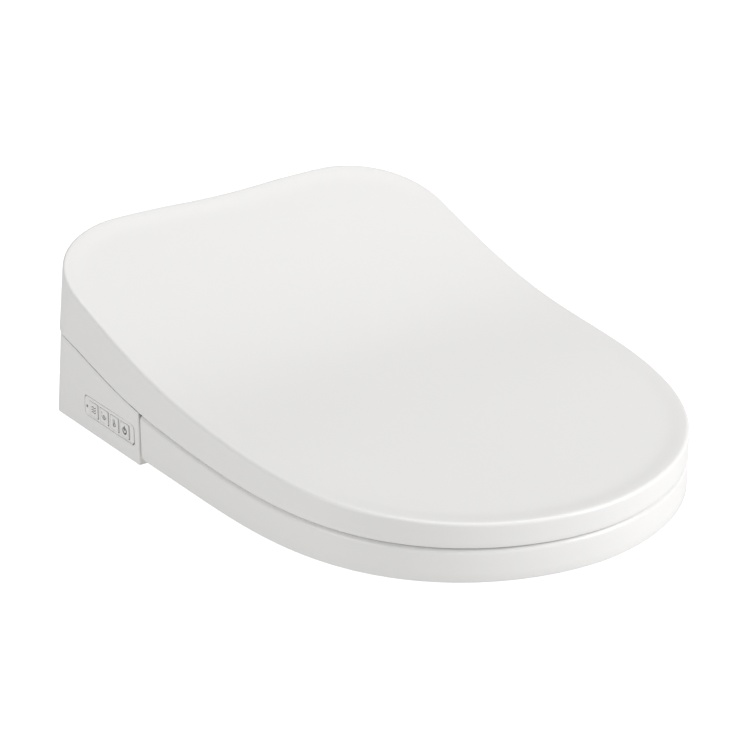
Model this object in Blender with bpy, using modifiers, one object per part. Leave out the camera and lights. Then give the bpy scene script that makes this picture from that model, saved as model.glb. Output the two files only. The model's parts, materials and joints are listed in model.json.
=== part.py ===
"""Electric bidet seat: housing, seat, lid, side buttons, nozzle, dryer and hinges.

Frame: X across, -Y to the front tip, +Y to the wall, +Z up. The origin is the middle
of the underside. "Depth" below is always the distance back from the front tip.
"""
import math

import bmesh
import bpy
from mathutils import Matrix, Vector

# Driving dimensions, in metres
WIDTH = 0.380
LENGTH = 0.526
WALL = 0.003
GAP = 0.0003

HALF = WIDTH / 2
FRONT_DEPTH = 0.2835          # depth at which the front curve becomes straight
FRONT_POWER_X = 1.889
FRONT_POWER_Y = 3.204
REAR_CORNER_X = 0.095
REAR_CORNER_Y = 0.078
REAR_CORNER_POWER = 2.2
REAR_BOW = 0.0035

# Side profiles as (depth, height): the lid's rim, and the line that parts lid and seat
RIM_LINE = [(0, 0.0544), (0.105, 0.0597), (0.211, 0.0676), (0.316, 0.0786),
            (0.421, 0.1069), (LENGTH, 0.1458)]
PARTING_LINE = [(0, 0.0344), (0.180, 0.0385), (0.263, 0.0407), (0.350, 0.0465),
                (0.400, 0.0555), (0.450, 0.0683), (0.490, 0.0772), (LENGTH, 0.083)]
PARTING_HALF = 0.0007         # half the visible gap at the parting line

# Housing
HOUSING_FRONT = 0.357
HOUSING_REAR = 0.496
HOUSING_REAR_RADIUS = 0.011
HOUSING_FRONT_RADIUS = 0.003
FLOOR = 0.006                 # height of the floor's underside
SHELF = 0.038                 # top of the shelf that the seat's arms pass over
REAR_WALL_TOP = 0.066
PORT_HEIGHT = 0.0235          # middle of the water inlet and of the cord gland
PORT_SIDE = 0.130
SCREW_PLACES = [(-0.165, 0.385), (0.165, 0.385), (-0.165, 0.478), (0.165, 0.478)]
SCREW_RADIUS = 0.0019
SCREW_HEAD_RADIUS = 0.0038
BOLT_SPACING = 0.140
SLOT_HALF_WIDE = 0.0055

# Seat
SEAT_REAR = 0.353
SEAT_CORNER = 0.005
SEAT_UNDER = 0.0068
BRIDGE_UNDER = 0.0302         # underside of the seat's rear edge, above the wand's path
BRIDGE_SLOPE = 0.25
OPENING_HALF = 0.106
OPENING_FRONT = 0.078
OPENING_REAR = 0.322
OPENING_POWER = 2.3
SEAT_EDGE = 0.0045
ARM_ROOT = (0.3485, 0.0385)   # depth and height where the hinge arms leave the seat
ARM_HALF_THICK = 0.004
KNUCKLE_RADIUS = 0.011
BUMPER_RADIUS = 0.0085

# Hinges, as (depth, height)
LID_PIVOT = (0.484, 0.084)
SEAT_PIVOT = (0.380, 0.058)
LID_EDGE = 0.003
LID_CORNER_RADIUS = 0.0074
LID_REAR_EDGE = 0.104
LID_SWING = 0.0365            # what rises behind the lid's pivot stays within this radius of it
LEG_INNER = 0.1733
LEG_OUTER = 0.1768
LEG_HALF_WIDE = 0.0065
LID_BUMPER = (0.065, 0.045)   # side and depth of the lid's pads
LID_BUMPER_RADIUS = 0.006
ARM_INNER = 0.1135
ARM_OUTER = 0.137
PIN_RADIUS = 0.005
SHAFT_RADIUS = 0.0035

# Tower: the part of the cover that rises inside the lid
TOWER_HALF = 0.184
TOWER_FRONT = 0.398
TOWER_REAR = 0.4922
TOWER_NOSE = 0.4704           # behind this depth the roof rounds down, clear of the opening lid
TOWER_CORNER_X = 0.035
TOWER_CORNER_Y = 0.060
HUMP_HALF = 0.111
HUMP_RADIUS = 0.022

# Side control panel
PANEL_FRONT = 0.366
PANEL_REAR = 0.447
PANEL_LOW = 0.012
PANEL_HIGH = 0.034
PANEL_RECESS = 0.0017
BUTTON_PITCH = 0.0162
BUTTON_WIDTH = 0.013
BUTTON_HEIGHT = 0.012
BUTTON_FIRST = 0.380          # depth of the power button's middle
LED_GAP = 0.0105              # from the last button's middle to the status light
LED_RADIUS = 0.0013
BUTTON_BACK = -0.1797         # X of the rear face of the buttons and of the light
BUTTON_NAMES = ["button_power", "button_nozzle", "button_wash", "button_dry"]

# Nozzle
WAND_ANGLE = math.radians(22)
WAND_RADIUS = 0.008
WAND_LENGTH = 0.118
WAND_FRONT = (0.372, 0.0245)  # centre of the wand's front end at rest, depth and height
RACK_MODULE = 0.0015
PINION_TEETH = 10
PINION_PLACE = 0.034          # the pinion's distance back along the wand
TIP_LENGTH = 0.026
RACK_LINE = 0.0098            # the rack's pitch line above the wand's axis

# Dryer fan
FAN_PLACE = (0.058, 0.440)
VANES = 12

parts = bpy.data.collections.new("electric_bidet_seat")
cutters = bpy.data.collections.new("cutters")


# ---------------------------------------------------------------- basics

def clear_scene():
    for obj in list(bpy.data.objects):
        bpy.data.objects.remove(obj, do_unlink=True)
    bpy.context.scene.collection.children.link(parts)
    bpy.context.scene.collection.children.link(cutters)


def y_at(depth):
    """Row-frame Y of a depth behind the front tip."""
    return depth - LENGTH / 2


def make_material(name, colour, roughness, metallic=0.0):
    mat = bpy.data.materials.new(name)
    mat.use_nodes = True
    shader = mat.node_tree.nodes["Principled BSDF"]
    shader.inputs["Base Color"].default_value = (*colour, 1)
    shader.inputs["Roughness"].default_value = roughness
    shader.inputs["Metallic"].default_value = metallic
    mat.diffuse_color = (*colour, 1)
    return mat


WHITE = ((0.86, 0.86, 0.85), 0.28)
SOFT_WHITE = ((0.80, 0.80, 0.79), 0.5)
GREY = ((0.45, 0.46, 0.47), 0.5)
DARK = ((0.06, 0.06, 0.07), 0.5)
RUBBER = ((0.55, 0.55, 0.55), 0.8)
STEEL = ((0.62, 0.62, 0.63), 0.3, 1.0)
BRASS = ((0.75, 0.6, 0.3), 0.3, 1.0)
BOARD = ((0.03, 0.22, 0.09), 0.5)


def finish(name, bm, look, collection=None, origin=(0, 0, 0), smooth=40):
    """Make an object from a bmesh in world coordinates, with its origin at a point."""
    bmesh.ops.recalc_face_normals(bm, faces=bm.faces[:])
    bmesh.ops.translate(bm, verts=bm.verts[:], vec=-Vector(origin))
    mesh = bpy.data.meshes.new(name)
    bm.to_mesh(mesh)
    bm.free()
    if smooth:
        mesh.shade_smooth()
        mesh.set_sharp_from_angle(angle=math.radians(smooth))
    obj = bpy.data.objects.new(name, mesh)
    obj.location = origin
    (collection or parts).objects.link(obj)
    mesh.materials.append(make_material(name, *look))
    if collection is cutters:
        obj.hide_render = True
        obj.display_type = "WIRE"
    return obj


def bevel(obj, width, segments=2, angle=40):
    mod = obj.modifiers.new("edges", "BEVEL")
    mod.width = width
    mod.segments = segments
    mod.limit_method = "ANGLE"
    mod.angle_limit = math.radians(angle)


def boolean(obj, other, operation="DIFFERENCE"):
    mod = obj.modifiers.new(operation.lower(), "BOOLEAN")
    mod.operation = operation
    mod.object = other
    mod.solver = "EXACT"


def box(name, x, depth, z, look=WHITE, edge=0.0, collection=None, origin=None):
    """A block between (low, high) pairs in x, depth and height."""
    bm = bmesh.new()
    size = (x[1] - x[0], depth[1] - depth[0], z[1] - z[0])
    centre = Vector(((x[0] + x[1]) / 2, y_at((depth[0] + depth[1]) / 2), (z[0] + z[1]) / 2))
    bmesh.ops.create_cube(bm, size=1, matrix=Matrix.Translation(centre) @ Matrix.Diagonal((*size, 1)))
    obj = finish(name, bm, look, collection, origin or centre, smooth=0)
    if edge:
        bevel(obj, edge)
    return obj


def rod(name, start, end, radius, look=STEEL, sides=24, collection=None):
    """A round bar between two points given as (x, depth, height)."""
    a = Vector((start[0], y_at(start[1]), start[2]))
    b = Vector((end[0], y_at(end[1]), end[2]))
    turn = (b - a).to_track_quat("Z", "Y").to_matrix().to_4x4()
    bm = bmesh.new()
    bmesh.ops.create_cone(bm, cap_ends=True, segments=sides, radius1=radius, radius2=radius,
                          depth=(b - a).length, matrix=Matrix.Translation((a + b) / 2) @ turn)
    return finish(name, bm, look, collection, (a + b) / 2)


def turned(name, profile, place, look, axis=(0, 0, 1), sides=24, collection=None):
    """A turned piece: (radius, height) points from the top down its outer side, about an axis."""
    mesh = bpy.data.meshes.new(name)
    mesh.from_pydata([(r, 0, h) for r, h in profile], [(i, i + 1) for i in range(len(profile) - 1)], [])
    obj = bpy.data.objects.new(name, mesh)
    obj.location = (place[0], y_at(place[1]), place[2])
    obj.rotation_euler = Vector(axis).to_track_quat("Z", "Y").to_euler()
    (collection or parts).objects.link(obj)
    mesh.materials.append(make_material(name, *look))
    mod = obj.modifiers.new("turn", "SCREW")
    mod.steps = sides
    mod.render_steps = sides
    mod.use_merge_vertices = True
    mod.merge_threshold = 0.00001
    mod.use_smooth_shade = True
    return obj


def tube(name, route, radius, look=SOFT_WHITE):
    """A bent tube through (x, depth, height) points."""
    data = bpy.data.curves.new(name, "CURVE")
    data.dimensions = "3D"
    data.bevel_depth = radius
    data.bevel_resolution = 2
    data.use_fill_caps = True
    spline = data.splines.new("POLY")
    points = smooth_route([Vector((x, y_at(d), z)) for x, d, z in route])
    spline.points.add(len(points) - 1)
    for point, place in zip(spline.points, points):
        point.co = (*place, 1)
    obj = bpy.data.objects.new(name, data)
    parts.objects.link(obj)
    data.materials.append(make_material(name, *look))
    return obj


def smooth_route(points, steps=6):
    """Points on a Catmull-Rom curve through the given ones."""
    ends = [2 * points[0] - points[1], *points, 2 * points[-1] - points[-2]]
    out = []
    for a, b, c, d in zip(ends, ends[1:], ends[2:], ends[3:]):
        for i in range(steps):
            t = i / steps
            out.append(0.5 * (2 * b + (c - a) * t + (2 * a - 5 * b + 4 * c - d) * t * t
                              + (3 * b - a - 3 * c + d) * t ** 3))
    return [*out, points[-1]]


def curve_value(line, depth):
    """Height on a smooth curve through (depth, height) points."""
    last = len(line) - 1
    depth = min(max(depth, line[0][0]), line[last][0])
    i = max(k for k in range(last) if line[k][0] <= depth)

    def slope(k):
        low, high = max(k - 1, 0), min(k + 1, last)
        return (line[high][1] - line[low][1]) / (line[high][0] - line[low][0])

    span = line[i + 1][0] - line[i][0]
    t = (depth - line[i][0]) / span
    return ((2 * t ** 3 - 3 * t ** 2 + 1) * line[i][1] + (t ** 3 - 2 * t ** 2 + t) * span * slope(i)
            + (3 * t ** 2 - 2 * t ** 3) * line[i + 1][1] + (t ** 3 - t ** 2) * span * slope(i + 1))


def rim(depth):
    return curve_value(RIM_LINE, depth)


def parting(depth):
    return curve_value(PARTING_LINE, depth)


def step(value, low, high):
    """0 below low, 1 above high, smooth between."""
    t = min(max((value - low) / (high - low), 0), 1)
    return t * t * (3 - 2 * t)


# ---------------------------------------------------------------- outlines and lofts

def mirrored(half):
    """A closed outline from its right half, which runs from the front tip to the rear middle."""
    left = [(-x, d) for x, d in reversed(half) if x > 1e-6]
    return half + left


def front_curve(count=22):
    points = []
    for i in range(count + 1):
        t = math.pi / 2 * i / count
        x = HALF * math.sin(t) ** (2 / FRONT_POWER_X)
        points.append((x, FRONT_DEPTH * (1 - math.cos(t) ** (2 / FRONT_POWER_Y))))
    return points


def corner(x, depth, size_x, size_y, power=2.0, count=5):
    """A rear right corner that ends on the lines at x and at depth."""
    points = []
    for i in range(count + 1):
        t = math.pi / 2 * i / count
        points.append((x - size_x * (1 - math.cos(t) ** (2 / power)),
                       depth - size_y * (1 - math.sin(t) ** (2 / power))))
    return points


def lid_outline():
    half = front_curve()
    side_end = LENGTH - REAR_CORNER_Y
    half += [(HALF, FRONT_DEPTH + (side_end - FRONT_DEPTH) * i / 6) for i in range(1, 6)]
    half += corner(HALF, LENGTH, REAR_CORNER_X, REAR_CORNER_Y, REAR_CORNER_POWER, 12)
    flat = HALF - REAR_CORNER_X
    half += [(flat * math.cos(t), LENGTH - REAR_BOW * math.sin(t) ** 2)
             for t in [math.pi / 2 * i / 4 for i in range(1, 5)]]
    half[-1] = (0, LENGTH - REAR_BOW)
    return mirrored(half)


def seat_outline():
    half = front_curve()
    run = SEAT_REAR - SEAT_CORNER - FRONT_DEPTH
    half += [(HALF, FRONT_DEPTH + run * i / 3) for i in range(1, 3)]
    half += corner(HALF, SEAT_REAR, SEAT_CORNER, SEAT_CORNER, 2, 4)
    half += [(HALF * f, SEAT_REAR) for f in (0.85, 0.72, 0.6, 0.5, 0.38, 0.2, 0)]
    return mirrored(half)


def housing_outline():
    half = [(0, HOUSING_FRONT), (0.06, HOUSING_FRONT), (0.12, HOUSING_FRONT), (0.18, HOUSING_FRONT)]
    r = HOUSING_FRONT_RADIUS
    half += [(HALF - r + r * math.sin(t), HOUSING_FRONT + r - r * math.cos(t))
             for t in [math.pi / 2 * i / 3 for i in range(4)]]
    run = HOUSING_REAR - HOUSING_REAR_RADIUS - HOUSING_FRONT
    half += [(HALF, HOUSING_FRONT + run * i / 8) for i in range(1, 8)]
    half += corner(HALF, HOUSING_REAR, HOUSING_REAR_RADIUS, HOUSING_REAR_RADIUS, 2, 5)
    half += [(0.12, HOUSING_REAR), (0.06, HOUSING_REAR), (0, HOUSING_REAR)]
    return mirrored(half)


def tower_outline():
    """The tower's plan, point for point beside the housing's outline."""
    half = [(0, TOWER_FRONT), (0.06, TOWER_FRONT), (0.12, TOWER_FRONT), (0.17, TOWER_FRONT)]
    half += [(0.1775, TOWER_FRONT), (0.1815, TOWER_FRONT + 0.001), (0.1835, TOWER_FRONT + 0.003),
             (TOWER_HALF, TOWER_FRONT + 0.006)]
    half += corner(TOWER_HALF, TOWER_REAR, TOWER_CORNER_X, TOWER_CORNER_Y, 2, 12)
    half += [(0.12, TOWER_REAR), (0.06, TOWER_REAR), (0, TOWER_REAR)]
    return mirrored(half)


def inset(outline, distance):
    """Move every point of a closed outline inwards along its normal."""
    out = []
    count = len(outline)
    for i in range(count):
        before = Vector(outline[i - 1])
        here = Vector(outline[i])
        after = Vector(outline[(i + 1) % count])
        a = (here - before).normalized()
        b = (after - here).normalized()
        normal = Vector((-(a.y + b.y), a.x + b.x)).normalized()
        reach = distance / max(normal.dot(Vector((-a.y, a.x))), 0.6)
        out.append((here.x + normal.x * reach, here.y + normal.y * reach))
    return out


def shrink(outline, factor, centre):
    return [(x * factor, centre + (d - centre) * factor) for x, d in outline]


def between(a, b, share):
    """An outline that lies a share of the way from one outline to another."""
    return [(p[0] + (q[0] - p[0]) * share, p[1] + (q[1] - p[1]) * share) for p, q in zip(a, b)]


def ring(outline, height):
    """Points of an outline at a height, which is a number or a function of (x, depth)."""
    return [(x, d, height(x, d) if callable(height) else height) for x, d in outline]


def loft(name, rings, look, closed=False, collection=None, origin=(0, 0, 0)):
    """A skin through rings of equal count; its ends close with a fan unless the rings do."""
    bm = bmesh.new()
    rows = [[bm.verts.new((x, y_at(d), z)) for x, d, z in points] for points in rings]
    pairs = list(zip(rows, rows[1:]))
    if closed:
        pairs.append((rows[-1], rows[0]))
    for low, high in pairs:
        count = len(low)
        for i in range(count):
            j = (i + 1) % count
            bm.faces.new((low[i], low[j], high[j], high[i]))
    if not closed:
        for row in (rows[0], rows[-1]):
            middle = sum((v.co for v in row), Vector()) / len(row)
            pole = bm.verts.new(middle)
            for i in range(len(row)):
                bm.faces.new((row[i], row[(i + 1) % len(row)], pole))
    return finish(name, bm, look, collection, origin, smooth=35)


def prism(name, profile, x_low, x_high, look=WHITE, collection=None, origin=(0, 0, 0)):
    """A (depth, height) outline pushed from one x to another."""
    bm = bmesh.new()
    face = bm.faces.new([bm.verts.new((x_low, y_at(d), z)) for d, z in profile])
    made = bmesh.ops.extrude_face_region(bm, geom=[face])
    moved = [v for v in made["geom"] if isinstance(v, bmesh.types.BMVert)]
    bmesh.ops.translate(bm, verts=moved, vec=(x_high - x_low, 0, 0))
    return finish(name, bm, look, collection, origin)


def arc(centre, radius, start, end, count):
    return [(centre[0] + radius * math.cos(math.radians(start + (end - start) * i / count)),
             centre[1] + radius * math.sin(math.radians(start + (end - start) * i / count)))
            for i in range(count + 1)]


def at_pivot(pivot):
    return (0, y_at(pivot[0]), pivot[1])


# ---------------------------------------------------------------- lid

def lid_shell():
    """The lid: a rim above a near-vertical skirt, hollow below, with two hinge legs."""
    outline = lid_outline()
    centre = 0.30
    edge = LID_EDGE

    def top(drop):
        return lambda x, d: rim(d) - drop

    inner = inset(outline, WALL)
    rows = [ring(shrink(outline, 0.4, centre), top(0.0012)),
            ring(shrink(outline, 0.8, centre), top(0.0010)),
            ring(inset(outline, 0.010), top(0.0004)),
            ring(inset(outline, edge), top(0))]
    rows += [ring(inset(outline, edge * (1 - math.sin(t))), top(edge * (1 - math.cos(t))))
             for t in (math.radians(30), math.radians(60))]
    rows += [ring(outline, top(edge)),
             ring(outline, lambda x, d: (parting(d) + PARTING_HALF + rim(d)) / 2),
             ring(outline, lambda x, d: parting(d) + PARTING_HALF),
             ring(inner, lambda x, d: parting(d) + PARTING_HALF),
             ring(inner, top(edge + WALL)),
             ring(inset(outline, WALL + edge), top(WALL)),
             ring(shrink(inner, 0.8, centre), top(0.001 + WALL)),
             ring(shrink(inner, 0.4, centre), top(0.0012 + WALL))]
    lid = loft("lid_shell", rows, WHITE, origin=at_pivot(LID_PIVOT))

    # The rear edge is cut away above the housing, round the pivot's own corner radius
    a, b = LID_PIVOT
    outer = arc(LID_PIVOT, LID_CORNER_RADIUS, -90, 0, 6)
    cut = [(a, b - 0.04), *outer, (a + LID_CORNER_RADIUS, LID_REAR_EDGE),
           (LENGTH + 0.02, LID_REAR_EDGE), (LENGTH + 0.02, b - 0.04)]
    boolean(lid, prism("lid_rear_cut", cut, -0.25, 0.25, collection=cutters))

    # Each leg ends just inside the roof; the shaft's bore stops 1.1 mm short of its outer face
    for side in (-1, 1):
        low, high = sorted((side * LEG_INNER, side * LEG_OUTER))
        leg = [*arc(LID_PIVOT, LEG_HALF_WIDE, 180, 360, 10),
               (a + LEG_HALF_WIDE, 0.1295), (a - LEG_HALF_WIDE, 0.1255)]
        boolean(lid, prism(f"lid_leg_{side}", leg, low, high, collection=cutters), "UNION")
        boolean(lid, rod(f"lid_leg_bore_{side}", (side * 0.17, a, b), (side * (LEG_OUTER - 0.0011), a, b),
                         SHAFT_RADIUS + GAP, sides=16, collection=cutters))


def lid_bumpers():
    """Two soft pads between the lid and the seat near the front."""
    across, depth = LID_BUMPER
    low = seat_height(depth + LID_BUMPER_RADIUS) + GAP
    high = rim(depth) - WALL - 0.0018
    for name, side in (("lid_bumper_right", -1), ("lid_bumper_left", 1)):
        rod(name, (side * across, depth, low), (side * across, depth, high), LID_BUMPER_RADIUS,
            RUBBER, 16)


# ---------------------------------------------------------------- seat

def opening_point(point, inset_by=0.0):
    """The point of the seat's opening on the ray from the seat's centre to an outline point."""
    middle = (OPENING_FRONT + OPENING_REAR) / 2
    across = OPENING_HALF - inset_by
    along = (OPENING_REAR - OPENING_FRONT) / 2 - inset_by
    dx, dy = point[0], point[1] - middle
    size = math.hypot(dx, dy)
    c, s = abs(dx / size), abs(dy / size)
    reach = ((c / across) ** OPENING_POWER + (s / along) ** OPENING_POWER) ** (-1 / OPENING_POWER)
    return (dx / size * reach, middle + dy / size * reach)


def seat_under(x, depth):
    """Underside of the seat: raised at the rear, where the wand and the dryer reach below it."""
    raised = (1 - step(abs(x), 0.095, 0.112)) * step(depth, 0.285, 0.305)
    bridge = BRIDGE_UNDER - BRIDGE_SLOPE * (SEAT_REAR - depth)
    return SEAT_UNDER + (bridge - SEAT_UNDER) * raised


def seat_height(depth):
    return parting(depth) - PARTING_HALF


def seat_top():
    """The seat's upper shell: outer wall, crowned top and inner wall, with its hinge arms."""
    outer = seat_outline()
    hole = [opening_point(p) for p in outer]
    edge = SEAT_EDGE

    def top(drop):
        return lambda x, d: seat_height(d) - drop

    def grow(distance):
        return inset(hole, -distance)

    rows = [ring(outer, seat_under), ring(outer, top(edge))]
    rows += [ring(inset(outer, edge * (1 - math.cos(t))), top(edge * (1 - math.sin(t))))
             for t in (math.radians(30), math.radians(60), math.radians(90))]
    rows += [ring(between(outer, hole, 0.45), top(0.0005)),
             ring(between(outer, hole, 0.72), top(0.0022)),
             ring(grow(0.006), top(0.0038)), ring(grow(0.0018), top(0.0058)),
             ring(hole, top(0.0090)),
             ring(hole, seat_under), ring(grow(WALL), seat_under),
             ring(grow(WALL), top(0.0105)), ring(grow(0.009), top(0.0075)),
             ring(between(outer, hole, 0.5), top(0.0042)),
             ring(inset(outer, 0.008), top(WALL + 0.0005)),
             ring(inset(outer, WALL), top(0.008)), ring(inset(outer, WALL), seat_under)]
    seat = loft("seat_top", rows, WHITE, closed=True, origin=at_pivot(SEAT_PIVOT))

    root, pivot = Vector(ARM_ROOT), Vector(SEAT_PIVOT)
    along = (pivot - root).normalized()
    thick = Vector((-along.y, along.x)) * ARM_HALF_THICK
    slab = [root - thick, pivot - thick, pivot + thick, root + thick]
    for side in (-1, 1):
        low, high = sorted((side * ARM_INNER, side * ARM_OUTER))
        boolean(seat, prism(f"seat_arm_{side}", slab, low + 0.0002, high - 0.0002, collection=cutters),
                "UNION")
        boolean(seat, rod(f"seat_knuckle_{side}", (low, *SEAT_PIVOT), (high, *SEAT_PIVOT),
                          KNUCKLE_RADIUS, collection=cutters), "UNION")
        boolean(seat, rod(f"seat_bore_{side}", (low - 0.002, *SEAT_PIVOT), (high + 0.002, *SEAT_PIVOT),
                          PIN_RADIUS + GAP, collection=cutters))


def seat_base():
    """The plate that closes the seat from below."""
    outer = seat_outline()
    hole = [opening_point(p) for p in outer]
    far = inset(outer, WALL + GAP)
    near = inset(hole, -WALL - GAP)

    def under(lift):
        return lambda x, d: seat_under(x, d) + lift

    rows = [ring(far, under(0.0010)), ring(far, under(0.0032)),
            ring(near, under(0.0032)), ring(near, under(0.0010))]
    loft("seat_base", rows, SOFT_WHITE, closed=True, origin=at_pivot(SEAT_PIVOT))


def seat_heater():
    """The heating foil under the seat's top."""
    outer = seat_outline()
    hole = [opening_point(p) for p in outer]
    far = between(outer, hole, 0.25)
    near = between(outer, hole, 0.6)

    def top(drop):
        return lambda x, d: seat_height(d) - drop

    rows = [ring(far, top(0.0074)), ring(far, top(0.0068)),
            ring(near, top(0.0068)), ring(near, top(0.0074))]
    loft("seat_heater", rows, BRASS, closed=True, origin=at_pivot(SEAT_PIVOT))


def seat_bumpers():
    places = {"seat_bumper_front_right": (-0.085, 0.058), "seat_bumper_front_left": (0.085, 0.058),
              "seat_bumper_rear_right": (-0.150, 0.290), "seat_bumper_rear_left": (0.150, 0.290)}
    for name, (x, depth) in places.items():
        top = SEAT_UNDER + 0.0010 - GAP
        profile = [(0, top), (BUMPER_RADIUS, top), (BUMPER_RADIUS, 0.0015),
                   (BUMPER_RADIUS - 0.0015, 0), (0, 0)]
        turned(name, profile, (x, depth, 0), RUBBER, sides=20)


# ---------------------------------------------------------------- housing

def housing_wall_top(x, depth):
    """Height of the housing's wall: flush sides, low front, and a rear that clears the lid."""
    side = parting(min(depth, LID_PIVOT[0])) - PARTING_HALF
    front = 1 - step(abs(x), 0.1835, HALF - 0.0015)
    rear = step(depth, 0.488, HOUSING_REAR - 0.001)
    height = side + (REAR_WALL_TOP - side) * rear
    if depth < HOUSING_FRONT + 0.01:
        height += (SHELF - height) * front
    return height


def housing_base():
    """The housing's tray: flush side walls, floor, and the ports in its walls."""
    outline = housing_outline()
    inner = inset(outline, WALL)
    rows = [ring(inner, FLOOR), ring(inner, 0), ring(outline, 0), ring(outline, housing_wall_top),
            ring(inner, housing_wall_top), ring(inner, FLOOR + WALL)]
    tray = loft("housing_base", rows, WHITE)

    boolean(tray, box("panel_window", (-0.2, -0.18), (PANEL_FRONT, PANEL_REAR),
                      (PANEL_LOW, PANEL_HIGH), collection=cutters))
    boolean(tray, box("release_window", (0.18, 0.2), (0.4195, 0.4405), (0.0125, 0.0225),
                      collection=cutters))
    boolean(tray, box("nozzle_port", (-0.0125, 0.0125), (0.35, 0.365), (0.0098, 0.0325),
                      collection=cutters))
    boolean(tray, box("dryer_port", (0.038, 0.078), (0.35, 0.365), (0.0135, 0.0305),
                      collection=cutters))
    for name, x, radius in (("inlet_hole", -PORT_SIDE, 0.0108), ("gland_hole", PORT_SIDE, 0.0083)):
        boolean(tray, rod(name, (x, 0.48, PORT_HEIGHT), (x, 0.51, PORT_HEIGHT), radius,
                          collection=cutters))
    for i, (x, depth) in enumerate(SCREW_PLACES):
        boolean(tray, rod(f"screw_hole_{i}", (x, depth, 0.001), (x, depth, 0.012),
                          SCREW_RADIUS + GAP, sides=12, collection=cutters))


def base_screws():
    names = ["base_screw_front_right", "base_screw_front_left",
             "base_screw_rear_right", "base_screw_rear_left"]
    for name, (x, depth) in zip(names, SCREW_PLACES):
        head = FLOOR - GAP
        profile = [(0, 0.014), (SCREW_RADIUS, 0.014), (SCREW_RADIUS, head), (SCREW_HEAD_RADIUS, head),
                   (SCREW_HEAD_RADIUS - 0.0004, head - 0.002), (0, head - 0.002)]
        turned(name, profile, (x, depth, 0), STEEL, sides=12)


def roof(drop):
    """The tower's roof: it follows the lid's underside, and rounds down behind the lid's pivot."""
    pivot_depth, pivot_height = LID_PIVOT

    def height(x, depth):
        top = rim(depth) - WALL - 0.0035
        if depth > TOWER_NOSE:
            top = min(top, pivot_height + math.sqrt(LID_SWING ** 2 - (depth - pivot_depth) ** 2))
        return top - drop

    return height


def housing_cover():
    """The cover inside the lid: a flange, a tower and a hump that carries the seat's pins."""
    flange = inset(housing_outline(), WALL + 0.0005)
    tower = tower_outline()
    inner = inset(tower, WALL)
    centre = 0.447
    low = SHELF - WALL
    # both outlines have the same number of points: the flange's side points are spread to match
    flange = matched(flange, len(tower))
    rows = [ring(shrink(inner, 0.5, centre), roof(WALL)), ring(inset(tower, 0.010), roof(WALL)),
            ring(inner, roof(0.010)), ring(inner, low), ring(flange, low), ring(flange, SHELF),
            ring(tower, SHELF), ring(tower, roof(0.007)), ring(inset(tower, 0.002), roof(0.002)),
            ring(inset(tower, 0.007), roof(0)), ring(shrink(tower, 0.5, centre), roof(0))]
    cover = loft("housing_cover", rows, WHITE)

    def hump(radius, low_z, front_gap, back):
        return [*arc(SEAT_PIVOT, radius, 180, 90, 8), (back, SEAT_PIVOT[1] + radius), (back, low_z),
                (SEAT_PIVOT[0] - radius + front_gap, low_z),
                (SEAT_PIVOT[0] - radius, low_z + 0.008)]

    boolean(cover, prism("hump_outer", hump(HUMP_RADIUS, SHELF - 0.0015, 0.006, 0.4005),
                         -HUMP_HALF, HUMP_HALF, collection=cutters), "UNION")
    boolean(cover, prism("hump_inner", hump(HUMP_RADIUS - WALL, 0.03, 0.004, 0.4045),
                         -HUMP_HALF + WALL, HUMP_HALF - WALL, collection=cutters))
    for side in (-1, 1):
        boolean(cover, rod(f"hump_bore_{side}", (side * 0.10, *SEAT_PIVOT), (side * 0.12, *SEAT_PIVOT),
                           PIN_RADIUS + GAP, collection=cutters))
        boolean(cover, rod(f"tower_bore_{side}", (side * 0.145, *LID_PIVOT), (side * 0.19, *LID_PIVOT),
                           SHAFT_RADIUS + GAP, sides=16, collection=cutters))


def matched(outline, count):
    """Spread an outline over the wanted number of points, both halves alike."""
    half = [p for p in outline if p[0] > -1e-6]
    need = (count + 2) // 2
    out = []
    lengths = [0]
    for a, b in zip(half, half[1:]):
        lengths.append(lengths[-1] + math.dist(a, b))
    for i in range(need):
        place = lengths[-1] * i / (need - 1)
        k = min(max(j for j in range(len(half)) if lengths[j] <= place + 1e-9), len(half) - 2)
        t = (place - lengths[k]) / (lengths[k + 1] - lengths[k])
        out.append((half[k][0] + (half[k + 1][0] - half[k][0]) * t,
                    half[k][1] + (half[k + 1][1] - half[k][1]) * t))
    out[0] = (0, out[0][1])
    out[-1] = (0, out[-1][1])
    return mirrored(out)


def mounting_bracket():
    """The plate that bolts to the bowl; the housing slides onto it."""
    plate = box("mounting_bracket", (-0.095, 0.095), (0.372, 0.482), (0, FLOOR - GAP), SOFT_WHITE)
    for side in (-1, 1):
        slot_x = side * BOLT_SPACING / 2
        boolean(plate, box(f"bolt_slot_{side}", (slot_x - SLOT_HALF_WIDE, slot_x + SLOT_HALF_WIDE),
                           (0.400, 0.448), (-0.01, 0.02), collection=cutters))


# ---------------------------------------------------------------- control panel and switches

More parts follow.
